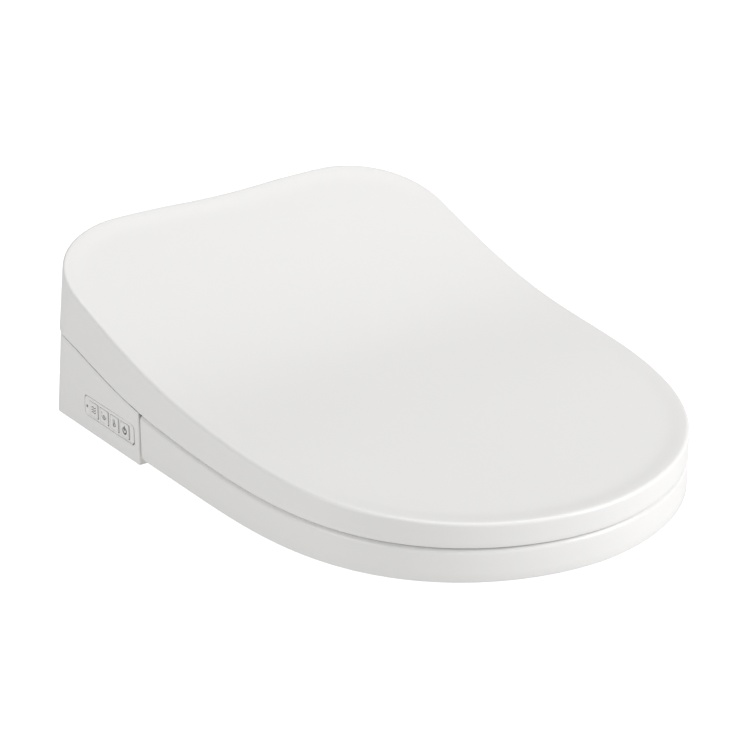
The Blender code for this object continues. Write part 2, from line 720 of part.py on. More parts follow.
def control_panel():
    face = -HALF + PANEL_RECESS
    bezel = box("control_bezel", (face, -0.184), (PANEL_FRONT + GAP, PANEL_REAR - GAP),
                (PANEL_LOW + GAP, PANEL_HIGH - GAP), WHITE)
    middle = (PANEL_LOW + PANEL_HIGH) / 2
    for i, name in enumerate(BUTTON_NAMES):
        depth = BUTTON_FIRST + BUTTON_PITCH * i
        wide, high = BUTTON_WIDTH / 2, BUTTON_HEIGHT / 2
        boolean(bezel, box(f"window_{name}", (-0.2, -0.18), (depth - wide - GAP, depth + wide + GAP),
                           (middle - high - GAP, middle + high + GAP), collection=cutters))
        box(name, (-HALF + 0.0005, BUTTON_BACK), (depth - wide, depth + wide),
            (middle - high, middle + high), WHITE, edge=0.0004)
    led = BUTTON_FIRST + BUTTON_PITCH * 3 + LED_GAP
    boolean(bezel, rod("window_led", (-0.2, led, middle), (-0.18, led, middle), LED_RADIUS + GAP,
                       sides=16, collection=cutters))
    rod("status_led_lens", (face - 0.0002, led, middle), (BUTTON_BACK, led, middle), LED_RADIUS,
        GREY, 16)
    box("panel_board", (-0.1785, -0.1769), (0.370, 0.444), (0.0115, 0.0335), BOARD)


def release_button():
    """The side button that frees the housing from its bracket."""
    box("release_button", (0.178, HALF - 0.0003), (0.420, 0.440), (0.013, 0.022), WHITE, edge=0.0006)


# ---------------------------------------------------------------- hinges

def hinges():
    for name, side in (("right", -1), ("left", 1)):
        rod(f"seat_hinge_pin_{name}", (side * 0.1075, *SEAT_PIVOT), (side * 0.1375, *SEAT_PIVOT),
            PIN_RADIUS, STEEL)
        rod(f"seat_damper_{name}", (side * 0.055, *SEAT_PIVOT), (side * 0.1072, *SEAT_PIVOT),
            0.010, GREY)
        rod(f"lid_hinge_shaft_{name}", (side * 0.142, *LID_PIVOT), (side * 0.1754, *LID_PIVOT),
            SHAFT_RADIUS, STEEL, 16)
        rod(f"lid_damper_{name}", (side * 0.095, *LID_PIVOT), (side * 0.1417, *LID_PIVOT),
            0.0048, GREY, 16)


# ---------------------------------------------------------------- nozzle

def wand_point(back, up=0.0):
    """A point at a distance back along the wand's axis, and above it, as (depth, height)."""
    c, s = math.cos(WAND_ANGLE), math.sin(WAND_ANGLE)
    return (WAND_FRONT[0] + back * c - up * s, WAND_FRONT[1] + back * s + up * c)


def wand_bar(name, back, up, x, look, collection=None):
    """A block lying along the wand: ranges along it, above it and across it."""
    corners = [(back[0], up[0]), (back[1], up[0]), (back[1], up[1]), (back[0], up[1])]
    return prism(name, [wand_point(*c) for c in corners], x[0], x[1], look, collection)


def nozzle():
    rod("nozzle_tip", (0, *wand_point(0)), (0, *wand_point(TIP_LENGTH)), WAND_RADIUS, WHITE)
    wand = rod("nozzle_wand", (0, *wand_point(TIP_LENGTH + GAP)), (0, *wand_point(WAND_LENGTH)),
               WAND_RADIUS, SOFT_WHITE)
    boolean(wand, wand_rack(), "UNION")
    cradle = wand_bar("nozzle_cradle", (0.008, 0.112), (-0.0108, -0.0005), (-0.0125, 0.0125), GREY)
    boolean(cradle, rod("cradle_groove", (0, *wand_point(-0.01)), (0, *wand_point(0.13)),
                        WAND_RADIUS + 0.0004, collection=cutters))
    centre = wand_point(PINION_PLACE, RACK_LINE + RACK_MODULE * PINION_TEETH / 2)
    pinion(centre)
    rod("nozzle_motor", (-0.040, *centre), (-0.0125, *centre), 0.0135, DARK)


def wand_rack():
    """A toothed strip along the top of the wand, with a space under the pinion's middle."""
    pitch = math.pi * RACK_MODULE
    base = WAND_RADIUS / 2
    high = RACK_LINE + 0.8 * RACK_MODULE
    low = RACK_LINE - 1.1 * RACK_MODULE
    slope = math.tan(math.radians(20))
    half = 0.00095
    start, end = TIP_LENGTH + 0.0015, WAND_LENGTH - 0.001
    profile = [wand_point(start, base), wand_point(start, low)]
    first = PINION_PLACE - pitch / 2
    for k in range(int((end - first) / pitch)):
        middle = first + k * pitch
        wide = half + (RACK_LINE - low) * slope
        narrow = half - (high - RACK_LINE) * slope
        profile += [wand_point(middle - wide, low), wand_point(middle - narrow, high),
                    wand_point(middle + narrow, high), wand_point(middle + wide, low)]
    profile += [wand_point(end, low), wand_point(end, base)]
    return prism("wand_rack", profile, -0.0035, 0.0035, SOFT_WHITE, collection=cutters)


def pinion(centre):
    """A ten-tooth involute pinion on the motor's shaft."""
    pitch_radius = RACK_MODULE * PINION_TEETH / 2
    base_radius = pitch_radius * math.cos(math.radians(20))

    def involute(radius):
        angle = math.acos(min(base_radius / radius, 1))
        return math.tan(angle) - angle

    profile = []
    for k in range(PINION_TEETH):
        middle = -math.pi / 2 + WAND_ANGLE + 2 * math.pi * k / PINION_TEETH
        flank = []
        for radius in (pitch_radius - 1.15 * RACK_MODULE, base_radius, pitch_radius,
                       pitch_radius + 0.55 * RACK_MODULE):
            half = 0.110 + involute(pitch_radius) - involute(max(radius, base_radius))
            flank.append((radius, half))
        for radius, half in flank:
            profile.append((radius, middle - half))
        for radius, half in reversed(flank):
            profile.append((radius, middle + half))
    outline = [(centre[0] + r * math.cos(t), centre[1] + r * math.sin(t)) for r, t in profile]
    prism("nozzle_pinion", outline, -0.0120, 0.0030, SOFT_WHITE,
          origin=(0, y_at(centre[0]), centre[1]))


# ---------------------------------------------------------------- water, air and electrics

def water_parts():
    turned("water_inlet", [(0, 0.0165), (0.0104, 0.0165), (0.0104, -0.0045), (0.0065, -0.0045),
                           (0.0065, -0.0195), (0, -0.0195)],
           (-PORT_SIDE, HOUSING_REAR, PORT_HEIGHT), BRASS, axis=(0, 1, 0))
    box("solenoid_valve", (-0.148, -0.112), (0.446, 0.476), (0.0115, 0.042), DARK, edge=0.002)
    box("water_heater", (-0.166, -0.096), (0.4035, 0.440), (0.0115, 0.060), SOFT_WHITE, edge=0.004)
    rod("diverter_valve", (-0.066, 0.452, 0.0115), (-0.066, 0.452, 0.050), 0.014, GREY)
    tube("hose_valve_to_heater", [(-0.130, 0.460, 0.0428), (-0.130, 0.460, 0.056),
                                  (-0.130, 0.452, 0.067), (-0.130, 0.436, 0.071),
                                  (-0.130, 0.4235, 0.067), (-0.130, 0.4225, 0.0610)], 0.003)
    tube("hose_heater_to_diverter", [(-0.0953, 0.425, 0.045), (-0.085, 0.425, 0.046),
                                     (-0.070, 0.432, 0.056), (-0.066, 0.446, 0.064),
                                     (-0.066, 0.4515, 0.058), (-0.066, 0.452, 0.0507)], 0.003)


def dryer():
    centre = FAN_PLACE
    scroll = rod("fan_scroll", (*centre, 0.0115), (*centre, 0.038), 0.031, SOFT_WHITE, 32)
    boolean(scroll, box("scroll_throat", (0.042, 0.074), (0.395, 0.430), (0.0135, 0.0355),
                        collection=cutters))
    boolean(scroll, rod("scroll_room", (*centre, 0.0135), (*centre, 0.0355), 0.0285, sides=32,
                        collection=cutters))
    boolean(scroll, rod("scroll_eye", (*centre, 0.030), (*centre, 0.045), 0.013, collection=cutters))
    impeller(centre)
    rod("fan_motor", (*centre, 0.0385), (*centre, 0.060), 0.015, DARK)
    duct = box("dryer_duct", (0.0395, 0.0765), (0.3605, 0.4045), (0.0115, 0.0345), SOFT_WHITE)
    boolean(duct, box("duct_bore", (0.042, 0.074), (0.35, 0.415), (0.0137, 0.0303),
                      collection=cutters))
    grid = box("heater_grid", (0.0424, 0.0736), (0.378, 0.396), (0.0141, 0.0299), STEEL)
    for i in range(4):
        low = 0.0452 + 0.0068 * i
        boolean(grid, box(f"grid_slot_{i}", (low, low + 0.005), (0.37, 0.40), (0.0155, 0.0285),
                          collection=cutters))


def impeller(centre):
    """A hub disc with vanes standing on it."""
    wheel = rod("fan_impeller", (*centre, 0.0150), (*centre, 0.0170), 0.025, GREY, 32)
    boolean(wheel, rod("impeller_hub", (*centre, 0.0160), (*centre, 0.0340), 0.007,
                       collection=cutters), "UNION")
    for k in range(VANES):
        turn = 2 * math.pi * k / VANES
        vane = box(f"vane_{k}", (0.014, 0.0235), (LENGTH / 2 - 0.0006, LENGTH / 2 + 0.0006),
                   (0.0165, 0.0335), collection=cutters, origin=(0, 0, 0))
        vane.location = (centre[0], y_at(centre[1]), 0)
        vane.rotation_euler = (0, 0, turn)
        boolean(wheel, vane, "UNION")


def electrics():
    box("power_supply", (0.098, 0.165), (0.4045, 0.470), (0.0115, 0.052), DARK, edge=0.003)
    box("main_board", (0.030, 0.165), (0.408, 0.476), (0.0655, 0.0671), BOARD)
    turned("cord_gland", [(0, 0.016), (0.0055, 0.016), (0.0075, 0.002), (0.0105, 0.002),
                          (0.0105, 0), (0.0080, 0), (0.0080, -0.006), (0, -0.006)],
           (PORT_SIDE, HOUSING_REAR + GAP, PORT_HEIGHT), DARK, axis=(0, 1, 0))


def main():
    clear_scene()
    lid_shell()
    lid_bumpers()
    seat_top()
    seat_base()
    seat_heater()
    seat_bumpers()
    housing_base()
    base_screws()
    housing_cover()
    mounting_bracket()
    control_panel()
    release_button()
    hinges()
    nozzle()
    water_parts()
    dryer()
    electrics()


main()
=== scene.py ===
import json
import math

import bmesh
import bpy
from mathutils import Matrix, Vector


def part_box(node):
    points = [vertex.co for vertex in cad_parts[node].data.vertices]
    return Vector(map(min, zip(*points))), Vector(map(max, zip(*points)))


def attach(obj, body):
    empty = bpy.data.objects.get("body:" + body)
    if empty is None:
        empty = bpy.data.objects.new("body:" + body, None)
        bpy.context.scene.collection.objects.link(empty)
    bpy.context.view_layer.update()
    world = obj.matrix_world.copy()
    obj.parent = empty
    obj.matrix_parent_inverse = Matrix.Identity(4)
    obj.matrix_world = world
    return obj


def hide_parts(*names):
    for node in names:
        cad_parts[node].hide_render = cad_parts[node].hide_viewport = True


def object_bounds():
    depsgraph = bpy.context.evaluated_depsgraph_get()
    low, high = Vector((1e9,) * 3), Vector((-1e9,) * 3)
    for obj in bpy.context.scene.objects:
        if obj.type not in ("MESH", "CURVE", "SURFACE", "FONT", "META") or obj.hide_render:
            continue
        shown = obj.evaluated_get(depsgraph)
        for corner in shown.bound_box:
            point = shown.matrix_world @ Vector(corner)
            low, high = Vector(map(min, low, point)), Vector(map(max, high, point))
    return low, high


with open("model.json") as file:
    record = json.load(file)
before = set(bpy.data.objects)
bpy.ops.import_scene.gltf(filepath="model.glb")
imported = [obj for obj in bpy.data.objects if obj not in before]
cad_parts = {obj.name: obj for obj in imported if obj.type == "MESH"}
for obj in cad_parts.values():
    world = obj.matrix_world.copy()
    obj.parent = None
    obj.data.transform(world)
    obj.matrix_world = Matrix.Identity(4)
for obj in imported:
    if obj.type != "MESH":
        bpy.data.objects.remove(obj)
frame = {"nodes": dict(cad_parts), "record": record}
cad_low, cad_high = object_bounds()

# ---------------------------------------------------------------- sizes, in metres
# "Depth" is the distance back from the front tip, as in the part's own description.
HALF = cad_high[0]
FRONT = cad_low[1]
LENGTH = cad_high[1] - cad_low[1]
WALL = 0.003

FRONT_DEPTH = 0.2835          # the front curve ends here and the sides run straight
FRONT_POWER_X = 1.889
FRONT_POWER_Y = 3.204
REAR_CORNER = (0.095, 0.078)
REAR_CORNER_POWER = 2.2
REAR_BOW = 0.0035

RIM_LINE = [(0, 0.0544), (0.105, 0.0597), (0.211, 0.0676), (0.316, 0.0786),
            (0.421, 0.1069), (LENGTH, 0.1458)]
PARTING_LINE = [(0, 0.0344), (0.180, 0.0385), (0.263, 0.0407), (0.350, 0.0465),
                (0.400, 0.0555), (0.450, 0.0683), (0.490, 0.0772), (LENGTH, 0.083)]
LID_LIFT = 0.0003             # lid's lower edge above the parting line
SEAT_DROP = 0.0008            # seat's top edge below it
HOUSING_DROP = 0.0002         # housing's top edge below it

LID_EDGE = 0.0027             # radius of the lid's rim
LID_DISH = 0.0013             # how far the lid's top lies below its rim
LID_PIVOT = (0.484, 0.084)
LID_CORNER_RADIUS = 0.0074
LID_REAR_EDGE = 0.104
LOWER_REAR = 0.498            # the lid's plan at the pivots' height, squarer than its rim's plan
LOWER_CORNER = 0.026
LOWER_HEIGHT = 0.077
SEAT_PIVOT = (0.380, 0.058)
SEAT_REAR = 0.3556
SEAT_CORNER = 0.0032
SEAT_UNDER = 0.0068
SEAT_EDGE = 0.0045
BRIDGE_UNDER = 0.0302
BRIDGE_SLOPE = 0.25
OPENING = (0.106, 0.078, 0.322)   # half width, front depth, rear depth
OPENING_POWER = 2.3

HOUSING_FRONT = 0.357
HOUSING_REAR = 0.496
HOUSING_REAR_RADIUS = 0.011   # at the floor
HOUSING_FRONT_RADIUS = 0.0012
FLOOR = 0.006
SHELF = 0.038
REAR_WALL_TOP = 0.066
PORT_HEIGHT = 0.0235
TOWER_HALF = 0.184
TOWER_FRONT = 0.398
TOWER_REAR = 0.4922
TOWER_CORNER = (0.035, 0.060)
HUMP_HALF = 0.111
HUMP_RADIUS = 0.022

PANEL = ((0.3630, 0.4425), (0.0144, 0.0332))   # depth and height ranges
PANEL_CORNER = 0.0045
PANEL_DEEP = 0.0010           # recess at its front end
PANEL_SHALLOW = 0.0004        # recess at its rear end
PANEL_SLOT = (0.0030, 0.0011)  # gap in front of the bezel and above it; the dark plate behind it shows through as painted shade
KEY_PITCH = 0.0162
KEY_FIRST = 0.380
KEY_MIDDLE = 0.0227
KEY_SIZE = (0.0122, 0.0124)
KEY_SLOT = (0.0019, 0.0007)   # the same gap at each key, also dark with painted shade from the plate behind
KEY_THICK = 0.0034            # clears the backing plate when the key is pressed
WAND_ANGLE = math.radians(22)
WAND_FRONT = (0.372, 0.0245)  # depth and height of the wand's front end
WAND_PATH = ((-0.085, 0.130), (-0.0090, 0.0125))   # ranges along the wand's axis and above it
WAND_PATH_HALF = 0.0095
PORT_SIDE = 0.130             # how far the two rear ports are from the middle


def y_at(depth):
    return depth + FRONT


# ---------------------------------------------------------------- smooth lines

def spline(line):
    """A natural cubic spline through (depth, height) points, as a function of depth."""
    count = len(line)
    span = [line[i + 1][0] - line[i][0] for i in range(count - 1)]
    rise = [(line[i + 1][1] - line[i][1]) / span[i] for i in range(count - 1)]
    diagonal = [1.0] * count
    right = [0.0] * count
    above = [0.0] * count
    for i in range(1, count - 1):
        main = 2 * (span[i - 1] + span[i]) - span[i - 1] * above[i - 1] / diagonal[i - 1]
        above[i] = span[i]
        diagonal[i] = main
        right[i] = 6 * (rise[i] - rise[i - 1]) - span[i - 1] * right[i - 1] / diagonal[i - 1]
    bend = [0.0] * count
    for i in range(count - 2, 0, -1):
        bend[i] = (right[i] - above[i] * bend[i + 1]) / diagonal[i]

    def value(depth):
        depth = min(max(depth, line[0][0]), line[-1][0])
        i = max(k for k in range(count - 1) if line[k][0] <= depth)
        a, b = line[i + 1][0] - depth, depth - line[i][0]
        h = span[i]
        return (bend[i] * a ** 3 + bend[i + 1] * b ** 3) / (6 * h) + \
            (line[i][1] / h - bend[i] * h / 6) * a + (line[i + 1][1] / h - bend[i + 1] * h / 6) * b

    return value


rim_line = spline(RIM_LINE)
parting = spline(PARTING_LINE)


def rim(depth):
    """Height of the lid's rim, never above the CAD lid's own top."""
    return min(rim_line(depth), cad_high[2])


def step(value, low, high):
    t = min(max((value - low) / (high - low), 0), 1)
    return t * t * (3 - 2 * t)


def mix(a, b, t):
    return a + (b - a) * t


# ---------------------------------------------------------------- plan outlines

def mirrored(half):
    return half + [(-x, d) for x, d in reversed(half) if x > 1e-6]


def front_curve(count):
    points = []
    for i in range(count + 1):
        t = math.pi / 2 * i / count
        points.append((HALF * math.sin(t) ** (2 / FRONT_POWER_X),
                       FRONT_DEPTH * (1 - math.cos(t) ** (2 / FRONT_POWER_Y))))
    return points


def rear_corner(x, depth, size_x, size_y, power, count):
    points = []
    for i in range(count + 1):
        t = math.pi / 2 * i / count
        points.append((x - size_x * (1 - math.cos(t) ** (2 / power)),
                       depth - size_y * (1 - math.sin(t) ** (2 / power))))
    return points


def even(half, count):
    """The same line with its points evenly spaced, keeping its two ends."""
    run = [0.0]
    for a, b in zip(half, half[1:]):
        run.append(run[-1] + math.dist(a, b))
    out = []
    k = 0
    for i in range(count + 1):
        place = run[-1] * i / count
        while k < len(half) - 2 and run[k + 1] < place:
            k += 1
        t = (place - run[k]) / (run[k + 1] - run[k])
        out.append((mix(half[k][0], half[k + 1][0], t), mix(half[k][1], half[k + 1][1], t)))
    out[0] = half[0]
    out[-1] = half[-1]
    return out


def rear_half(rear, size_x, size_y, power, bow):
    """The straight side, the rear corner and the rear edge, with the same points for every size."""
    side = [(HALF, mix(FRONT_DEPTH, rear - size_y, i / 36)) for i in range(1, 36)]
    turn = even(rear_corner(HALF, rear, size_x, size_y, power, 300), 36)
    flat = HALF - size_x
    back = [(flat * (1 - i / 24), rear - bow * (1 - math.cos(math.pi * i / 24)) / 2)
            for i in range(1, 25)]
    return side + turn + back


def lid_outline():
    front = even(front_curve(400), 90)
    return mirrored(front + rear_half(LENGTH, *REAR_CORNER, REAR_CORNER_POWER, REAR_BOW))


def lid_lower_outline():
    """The lid's plan at the height of its pivots, point for point below the rim's."""
    front = even(front_curve(400), 90)
    return mirrored(front + rear_half(LOWER_REAR, LOWER_CORNER, LOWER_CORNER, 2, 0))


def seat_outline():
    half = even(front_curve(400), 90)
    straight = SEAT_REAR - SEAT_CORNER
    half += [(HALF, mix(FRONT_DEPTH, straight, i / 14)) for i in range(1, 14)]
    half += rear_corner(HALF, SEAT_REAR, SEAT_CORNER, SEAT_CORNER, 2, 8)
    half += [((HALF - SEAT_CORNER) * (1 - i / 40), SEAT_REAR) for i in range(1, 41)]
    return mirrored(half)


def housing_outline(height=0.0):
    """The housing's plan at a height: its rear corners open out towards the lid's."""
    corner = mix(HOUSING_REAR_RADIUS, LOWER_CORNER, min(height / LOWER_HEIGHT, 1))
    r = HOUSING_FRONT_RADIUS
    half = [((HALF - r) * i / 30, HOUSING_FRONT) for i in range(30)]
    half += [(HALF - r + r * math.sin(t), HOUSING_FRONT + r - r * math.cos(t))
             for t in [math.pi / 2 * i / 6 for i in range(7)]]
    half += [(HALF, mix(HOUSING_FRONT + r, HOUSING_REAR - corner, i / 40)) for i in range(1, 40)]
    half += rear_corner(HALF, HOUSING_REAR, corner, corner, 2, 16)
    half += [((HALF - corner) * (1 - i / 20), HOUSING_REAR) for i in range(1, 21)]
    return mirrored(half)


def tower_outline():
    half = [(0.176 * i / 20, TOWER_FRONT) for i in range(20)]
    half += [(TOWER_HALF - 0.008 + 0.008 * math.sin(t), TOWER_FRONT + 0.008 * (1 - math.cos(t)))
             for t in [math.pi / 2 * i / 6 for i in range(7)]]
    half += [(TOWER_HALF, mix(TOWER_FRONT + 0.008, TOWER_REAR - TOWER_CORNER[1], i / 8))
             for i in range(1, 8)]
    half += rear_corner(TOWER_HALF, TOWER_REAR, *TOWER_CORNER, 2, 24)
    half += [((TOWER_HALF - TOWER_CORNER[0]) * (1 - i / 20), TOWER_REAR) for i in range(1, 21)]
    return mirrored(half)


def inset(outline, distance):
    """Every point of a closed outline moved inwards along its normal."""
    out = []
    count = len(outline)
    for i in range(count):
        before, here, after = Vector(outline[i - 1]), Vector(outline[i]), Vector(outline[(i + 1) % count])
        a, b = (here - before).normalized(), (after - here).normalized()
        normal = Vector((-(a.y + b.y), a.x + b.x)).normalized()
        reach = distance / max(normal.dot(Vector((-a.y, a.x))), 0.6)
        out.append((here.x + normal.x * reach, here.y + normal.y * reach))
    return out


def shrunk(outline, factor, centre):
    return [(x * factor, centre + (d - centre) * factor) for x, d in outline]


def between(a, b, t):
    return [(mix(p[0], q[0], t), mix(p[1], q[1], t)) for p, q in zip(a, b)]


def ring(outline, height):
    return [Vector((x, y_at(d), height(x, d) if callable(height) else height)) for x, d in outline]


# ---------------------------------------------------------------- mesh building

def make(name, bm, body, material, *nodes, sharp=35, slot=None):
    """Turn a bmesh into a piece that rides on a body and stands for CAD nodes."""
    bmesh.ops.recalc_face_normals(bm, faces=bm.faces[:])
    mesh = bpy.data.meshes.new(name)
    bm.to_mesh(mesh)
    bm.free()
    mesh.shade_smooth()
    mesh.set_sharp_from_angle(angle=math.radians(sharp))
    obj = bpy.data.objects.new(name, mesh)
    bpy.context.scene.collection.objects.link(obj)
    mesh.materials.append(material)
    if body:
        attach(obj, body)
    if nodes:
        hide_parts(*nodes)
    return obj


def skin(bm, rings, closed=False):
    """Faces through rings of equal count. Open ends are closed by a fan."""
    rows = [[bm.verts.new(p) for p in points] for points in rings]
    pairs = list(zip(rows, rows[1:]))
    if closed:
        pairs.append((rows[-1], rows[0]))
    for low, high in pairs:
        for i in range(len(low)):
            j = (i + 1) % len(low)
            bm.faces.new((low[i], low[j], high[j], high[i]))
    if not closed:
        for row in (rows[0], rows[-1]):
            middle = sum((v.co for v in row), Vector()) / len(row)
            pole = bm.verts.new(middle)
            for i in range(len(row)):
                bm.faces.new((row[i], row[(i + 1) % len(row)], pole))
    return bm


def loft(name, rings, body, material, *nodes, closed=False, sharp=35, slot=None):
    return make(name, skin(bmesh.new(), rings, closed), body, material, *nodes, sharp=sharp, slot=slot)


def rounded_box(bm, low, high, radius, segments=3):
    """A block with every edge rounded, given as (x, depth, z) corners."""
    a, b = Vector((low[0], y_at(low[1]), low[2])), Vector((high[0], y_at(high[1]), high[2]))
    size = b - a
    made = bmesh.ops.create_cube(bm, size=1, matrix=Matrix.Translation((a + b) / 2)
                                 @ Matrix.Diagonal((*size, 1)))
    edges = {e for v in made["verts"] for e in v.link_edges}
    bmesh.ops.bevel(bm, geom=list(edges), offset=radius, segments=segments, profile=0.5,
                    affect="EDGES")


def turned(bm, profile, place, axis, sides=48):
    """A turned piece from (radius, distance along the axis) points, closed at both ends."""
    turn = Vector(axis).to_track_quat("Z", "Y").to_matrix()
    centre = Vector((place[0], y_at(place[1]), place[2]))
    rings = []
    for radius, along in profile:
        rings.append([centre + turn @ Vector((radius * math.cos(t), radius * math.sin(t), along))
                      for t in [2 * math.pi * k / sides for k in range(sides)]])
    skin(bm, rings)


def cut(obj, tool_mesh):
    """Boolean a finished object with a bmesh, and apply it."""
    mesh = bpy.data.meshes.new("tool")
    bmesh.ops.recalc_face_normals(tool_mesh, faces=tool_mesh.faces[:])
    tool_mesh.to_mesh(mesh)
    tool_mesh.free()
    tool = bpy.data.objects.new("tool", mesh)
    bpy.context.scene.collection.objects.link(tool)
    mod = obj.modifiers.new("cut", "BOOLEAN")
    mod.operation = "DIFFERENCE"
    mod.solver = "EXACT"
    mod.object = tool
    evaluated = obj.evaluated_get(bpy.context.evaluated_depsgraph_get())
    result = bpy.data.meshes.new_from_object(evaluated)
    obj.modifiers.clear()
    old = obj.data
    obj.data = result
    result.set_sharp_from_angle(angle=math.radians(35))
    bpy.data.meshes.remove(old)
    bpy.data.objects.remove(tool, do_unlink=True)
    bpy.data.meshes.remove(mesh)


def prism(bm, profile, x_low, x_high):
    """A (depth, height) outline pushed from one x to another."""
    face = bm.faces.new([bm.verts.new((x_low, y_at(d), z)) for d, z in profile])
    moved = bmesh.ops.extrude_face_region(bm, geom=[face])["geom"]
    bmesh.ops.translate(bm, verts=[v for v in moved if isinstance(v, bmesh.types.BMVert)],
                        vec=(x_high - x_low, 0, 0))
    return bm


def arc(centre, radius, start, end, count):
    turns = [math.radians(mix(start, end, i / count)) for i in range(count + 1)]
    return [(centre[0] + radius * math.cos(t), centre[1] + radius * math.sin(t)) for t in turns]


# ---------------------------------------------------------------- materials

class Look:
    """A Principled material with noise for colour, roughness and fine surface bumps."""

    def __init__(self, name, colour, roughness, metallic=0.0):
        self.material = bpy.data.materials.new(name)
        self.material.use_nodes = True
        self.tree = self.material.node_tree
        self.shader = self.tree.nodes["Principled BSDF"]
        self.shader.inputs["Base Color"].default_value = (*colour, 1)
        self.shader.inputs["Roughness"].default_value = roughness
        self.shader.inputs["Metallic"].default_value = metallic
        self.colour = colour
        self.roughness = roughness
        self.place = self.tree.nodes.new("ShaderNodeTexCoord").outputs["Object"]

    def node(self, kind, **values):
        made = self.tree.nodes.new(kind)
        for key, value in values.items():
            made.inputs[key].default_value = value
        return made

    def link(self, source, target):
        self.tree.links.new(source, target)

    def noise(self, scale, detail=2.0, stretch=None):
        where = self.place
        if stretch:
            mapping = self.node("ShaderNodeMapping", Scale=stretch)
            self.link(where, mapping.inputs["Vector"])
            where = mapping.outputs["Vector"]
        made = self.node("ShaderNodeTexNoise", Scale=scale, Detail=detail)
        self.link(where, made.inputs["Vector"])
        return made.outputs["Fac"]

    def spread(self, source, low, high):
        made = self.node("ShaderNodeMapRange")
        made.inputs["From Min"].default_value = 0.2
        made.inputs["From Max"].default_value = 0.8
        made.inputs["To Min"].default_value = low
        made.inputs["To Max"].default_value = high
        self.link(source, made.inputs["Value"])
        return made.outputs["Result"]

    def vary_colour(self, scale, amount, stretch=None):
        """Slow light and dark patches around the base colour."""
        ramp = self.tree.nodes.new("ShaderNodeValToRGB")
        for stop, factor in zip(ramp.color_ramp.elements, (1 - amount, 1 + amount)):
            stop.color = (*[min(c * factor, 1) for c in self.colour], 1)
        self.link(self.spread(self.noise(scale, 3, stretch), 0, 1), ramp.inputs["Fac"])
        self.link(ramp.outputs["Color"], self.shader.inputs["Base Color"])
        return self

    def vary_roughness(self, scale, amount, stretch=None):
        value = self.spread(self.noise(scale, 3, stretch), self.roughness - amount, self.roughness + amount)
        self.link(value, self.shader.inputs["Roughness"])
        return self

    def bumps(self, scale, height, detail=2.0, stretch=None):
        bump = self.node("ShaderNodeBump", Strength=1.0, Distance=height)
        self.link(self.noise(scale, detail, stretch), bump.inputs["Height"])
        self.link(bump.outputs["Normal"], self.shader.inputs["Normal"])
        return self


def shell_white(name="shell_white", roughness=0.30):
    """Glossy white moulded plastic: a faint warm tint and a very fine orange-peel skin."""
    look = Look(name, (0.868, 0.862, 0.850), roughness)
    look.vary_colour(7, 0.004).vary_roughness(25, 0.012).bumps(700, 0.000002, 1)
    look.shader.inputs["Coat Weight"].default_value = 0.12
    look.shader.inputs["Coat Roughness"].default_value = 0.12
    return look.material


def matte(name, colour, roughness=0.55):
    """Spark-eroded matte plastic."""
    return Look(name, colour, roughness).vary_colour(40, 0.03).vary_roughness(
        150, 0.05).bumps(1500, 0.00004, 4).material


def rubber():
    return Look("bumper_rubber", (0.66, 0.66, 0.65), 0.75).vary_colour(
        120, 0.05).vary_roughness(300, 0.06).bumps(2200, 0.00006, 4).material


def brushed(name, colour, roughness=0.32):
    """Metal with fine lines along X."""
    return Look(name, colour, roughness, 1.0).vary_colour(60, 0.05, (0.05, 1, 1)).vary_roughness(
        300, 0.06, (0.03, 1, 1)).bumps(900, 0.00002, 2, (0.03, 1, 1)).material


def board():
    look = Look("board_green", (0.02, 0.16, 0.07), 0.4)
    look.vary_colour(260, 0.35, (1, 1, 1)).bumps(700, 0.00003, 1)
    return look.material


def ink(name, colour):
    return Look(name, colour, 0.5).vary_colour(400, 0.08).vary_roughness(900, 0.05).material


def lens():
    look = Look("led_lens", (0.10, 0.10, 0.105), 0.15)
    look.vary_colour(900, 0.1).vary_roughness(1500, 0.04)
    look.shader.inputs["Coat Weight"].default_value = 0.6
    return look.material


WHITE = shell_white()
PANEL_WHITE = shell_white("panel_white", 0.38)
INNER_WHITE = matte("inner_white", (0.80, 0.80, 0.785))
GREY = matte("grey_plastic", (0.42, 0.43, 0.44))
DARK = matte("dark_plastic", (0.05, 0.05, 0.055), 0.5)
RUBBER = rubber()
STEEL = brushed("steel", (0.62, 0.62, 0.63))
BRASS = brushed("brass", (0.78, 0.60, 0.30), 0.28)
FOIL = brushed("heater_foil", (0.72, 0.60, 0.42), 0.4)
BOARD = board()
INK = ink("icon_ink", (0.012, 0.012, 0.013))
PALE_INK = ink("icon_ink_pale", (0.035, 0.035, 0.037))
LENS = lens()


def dress_nodes():
    """Give every CAD node that stays its own finish."""
    finishes = {"inner_white": INNER_WHITE, "grey_plastic": GREY, "dark_plastic": DARK,
                "bumper_rubber": RUBBER, "steel": STEEL, "brass": BRASS, "heater_foil": FOIL,
                "board_green": BOARD, "led_lens": LENS, "shell_white": WHITE,
                "panel_white": PANEL_WHITE}
    slots = {row["node"]: row["material_slot"] for row in frame["record"]["subparts"]}
    for name, obj in frame["nodes"].items():
        material = finishes[slots[name]]
        if not obj.material_slots:
            obj.data.materials.append(material)
        for slot in obj.material_slots:
            slot.link = "OBJECT"
            slot.material = material


# ---------------------------------------------------------------- lid

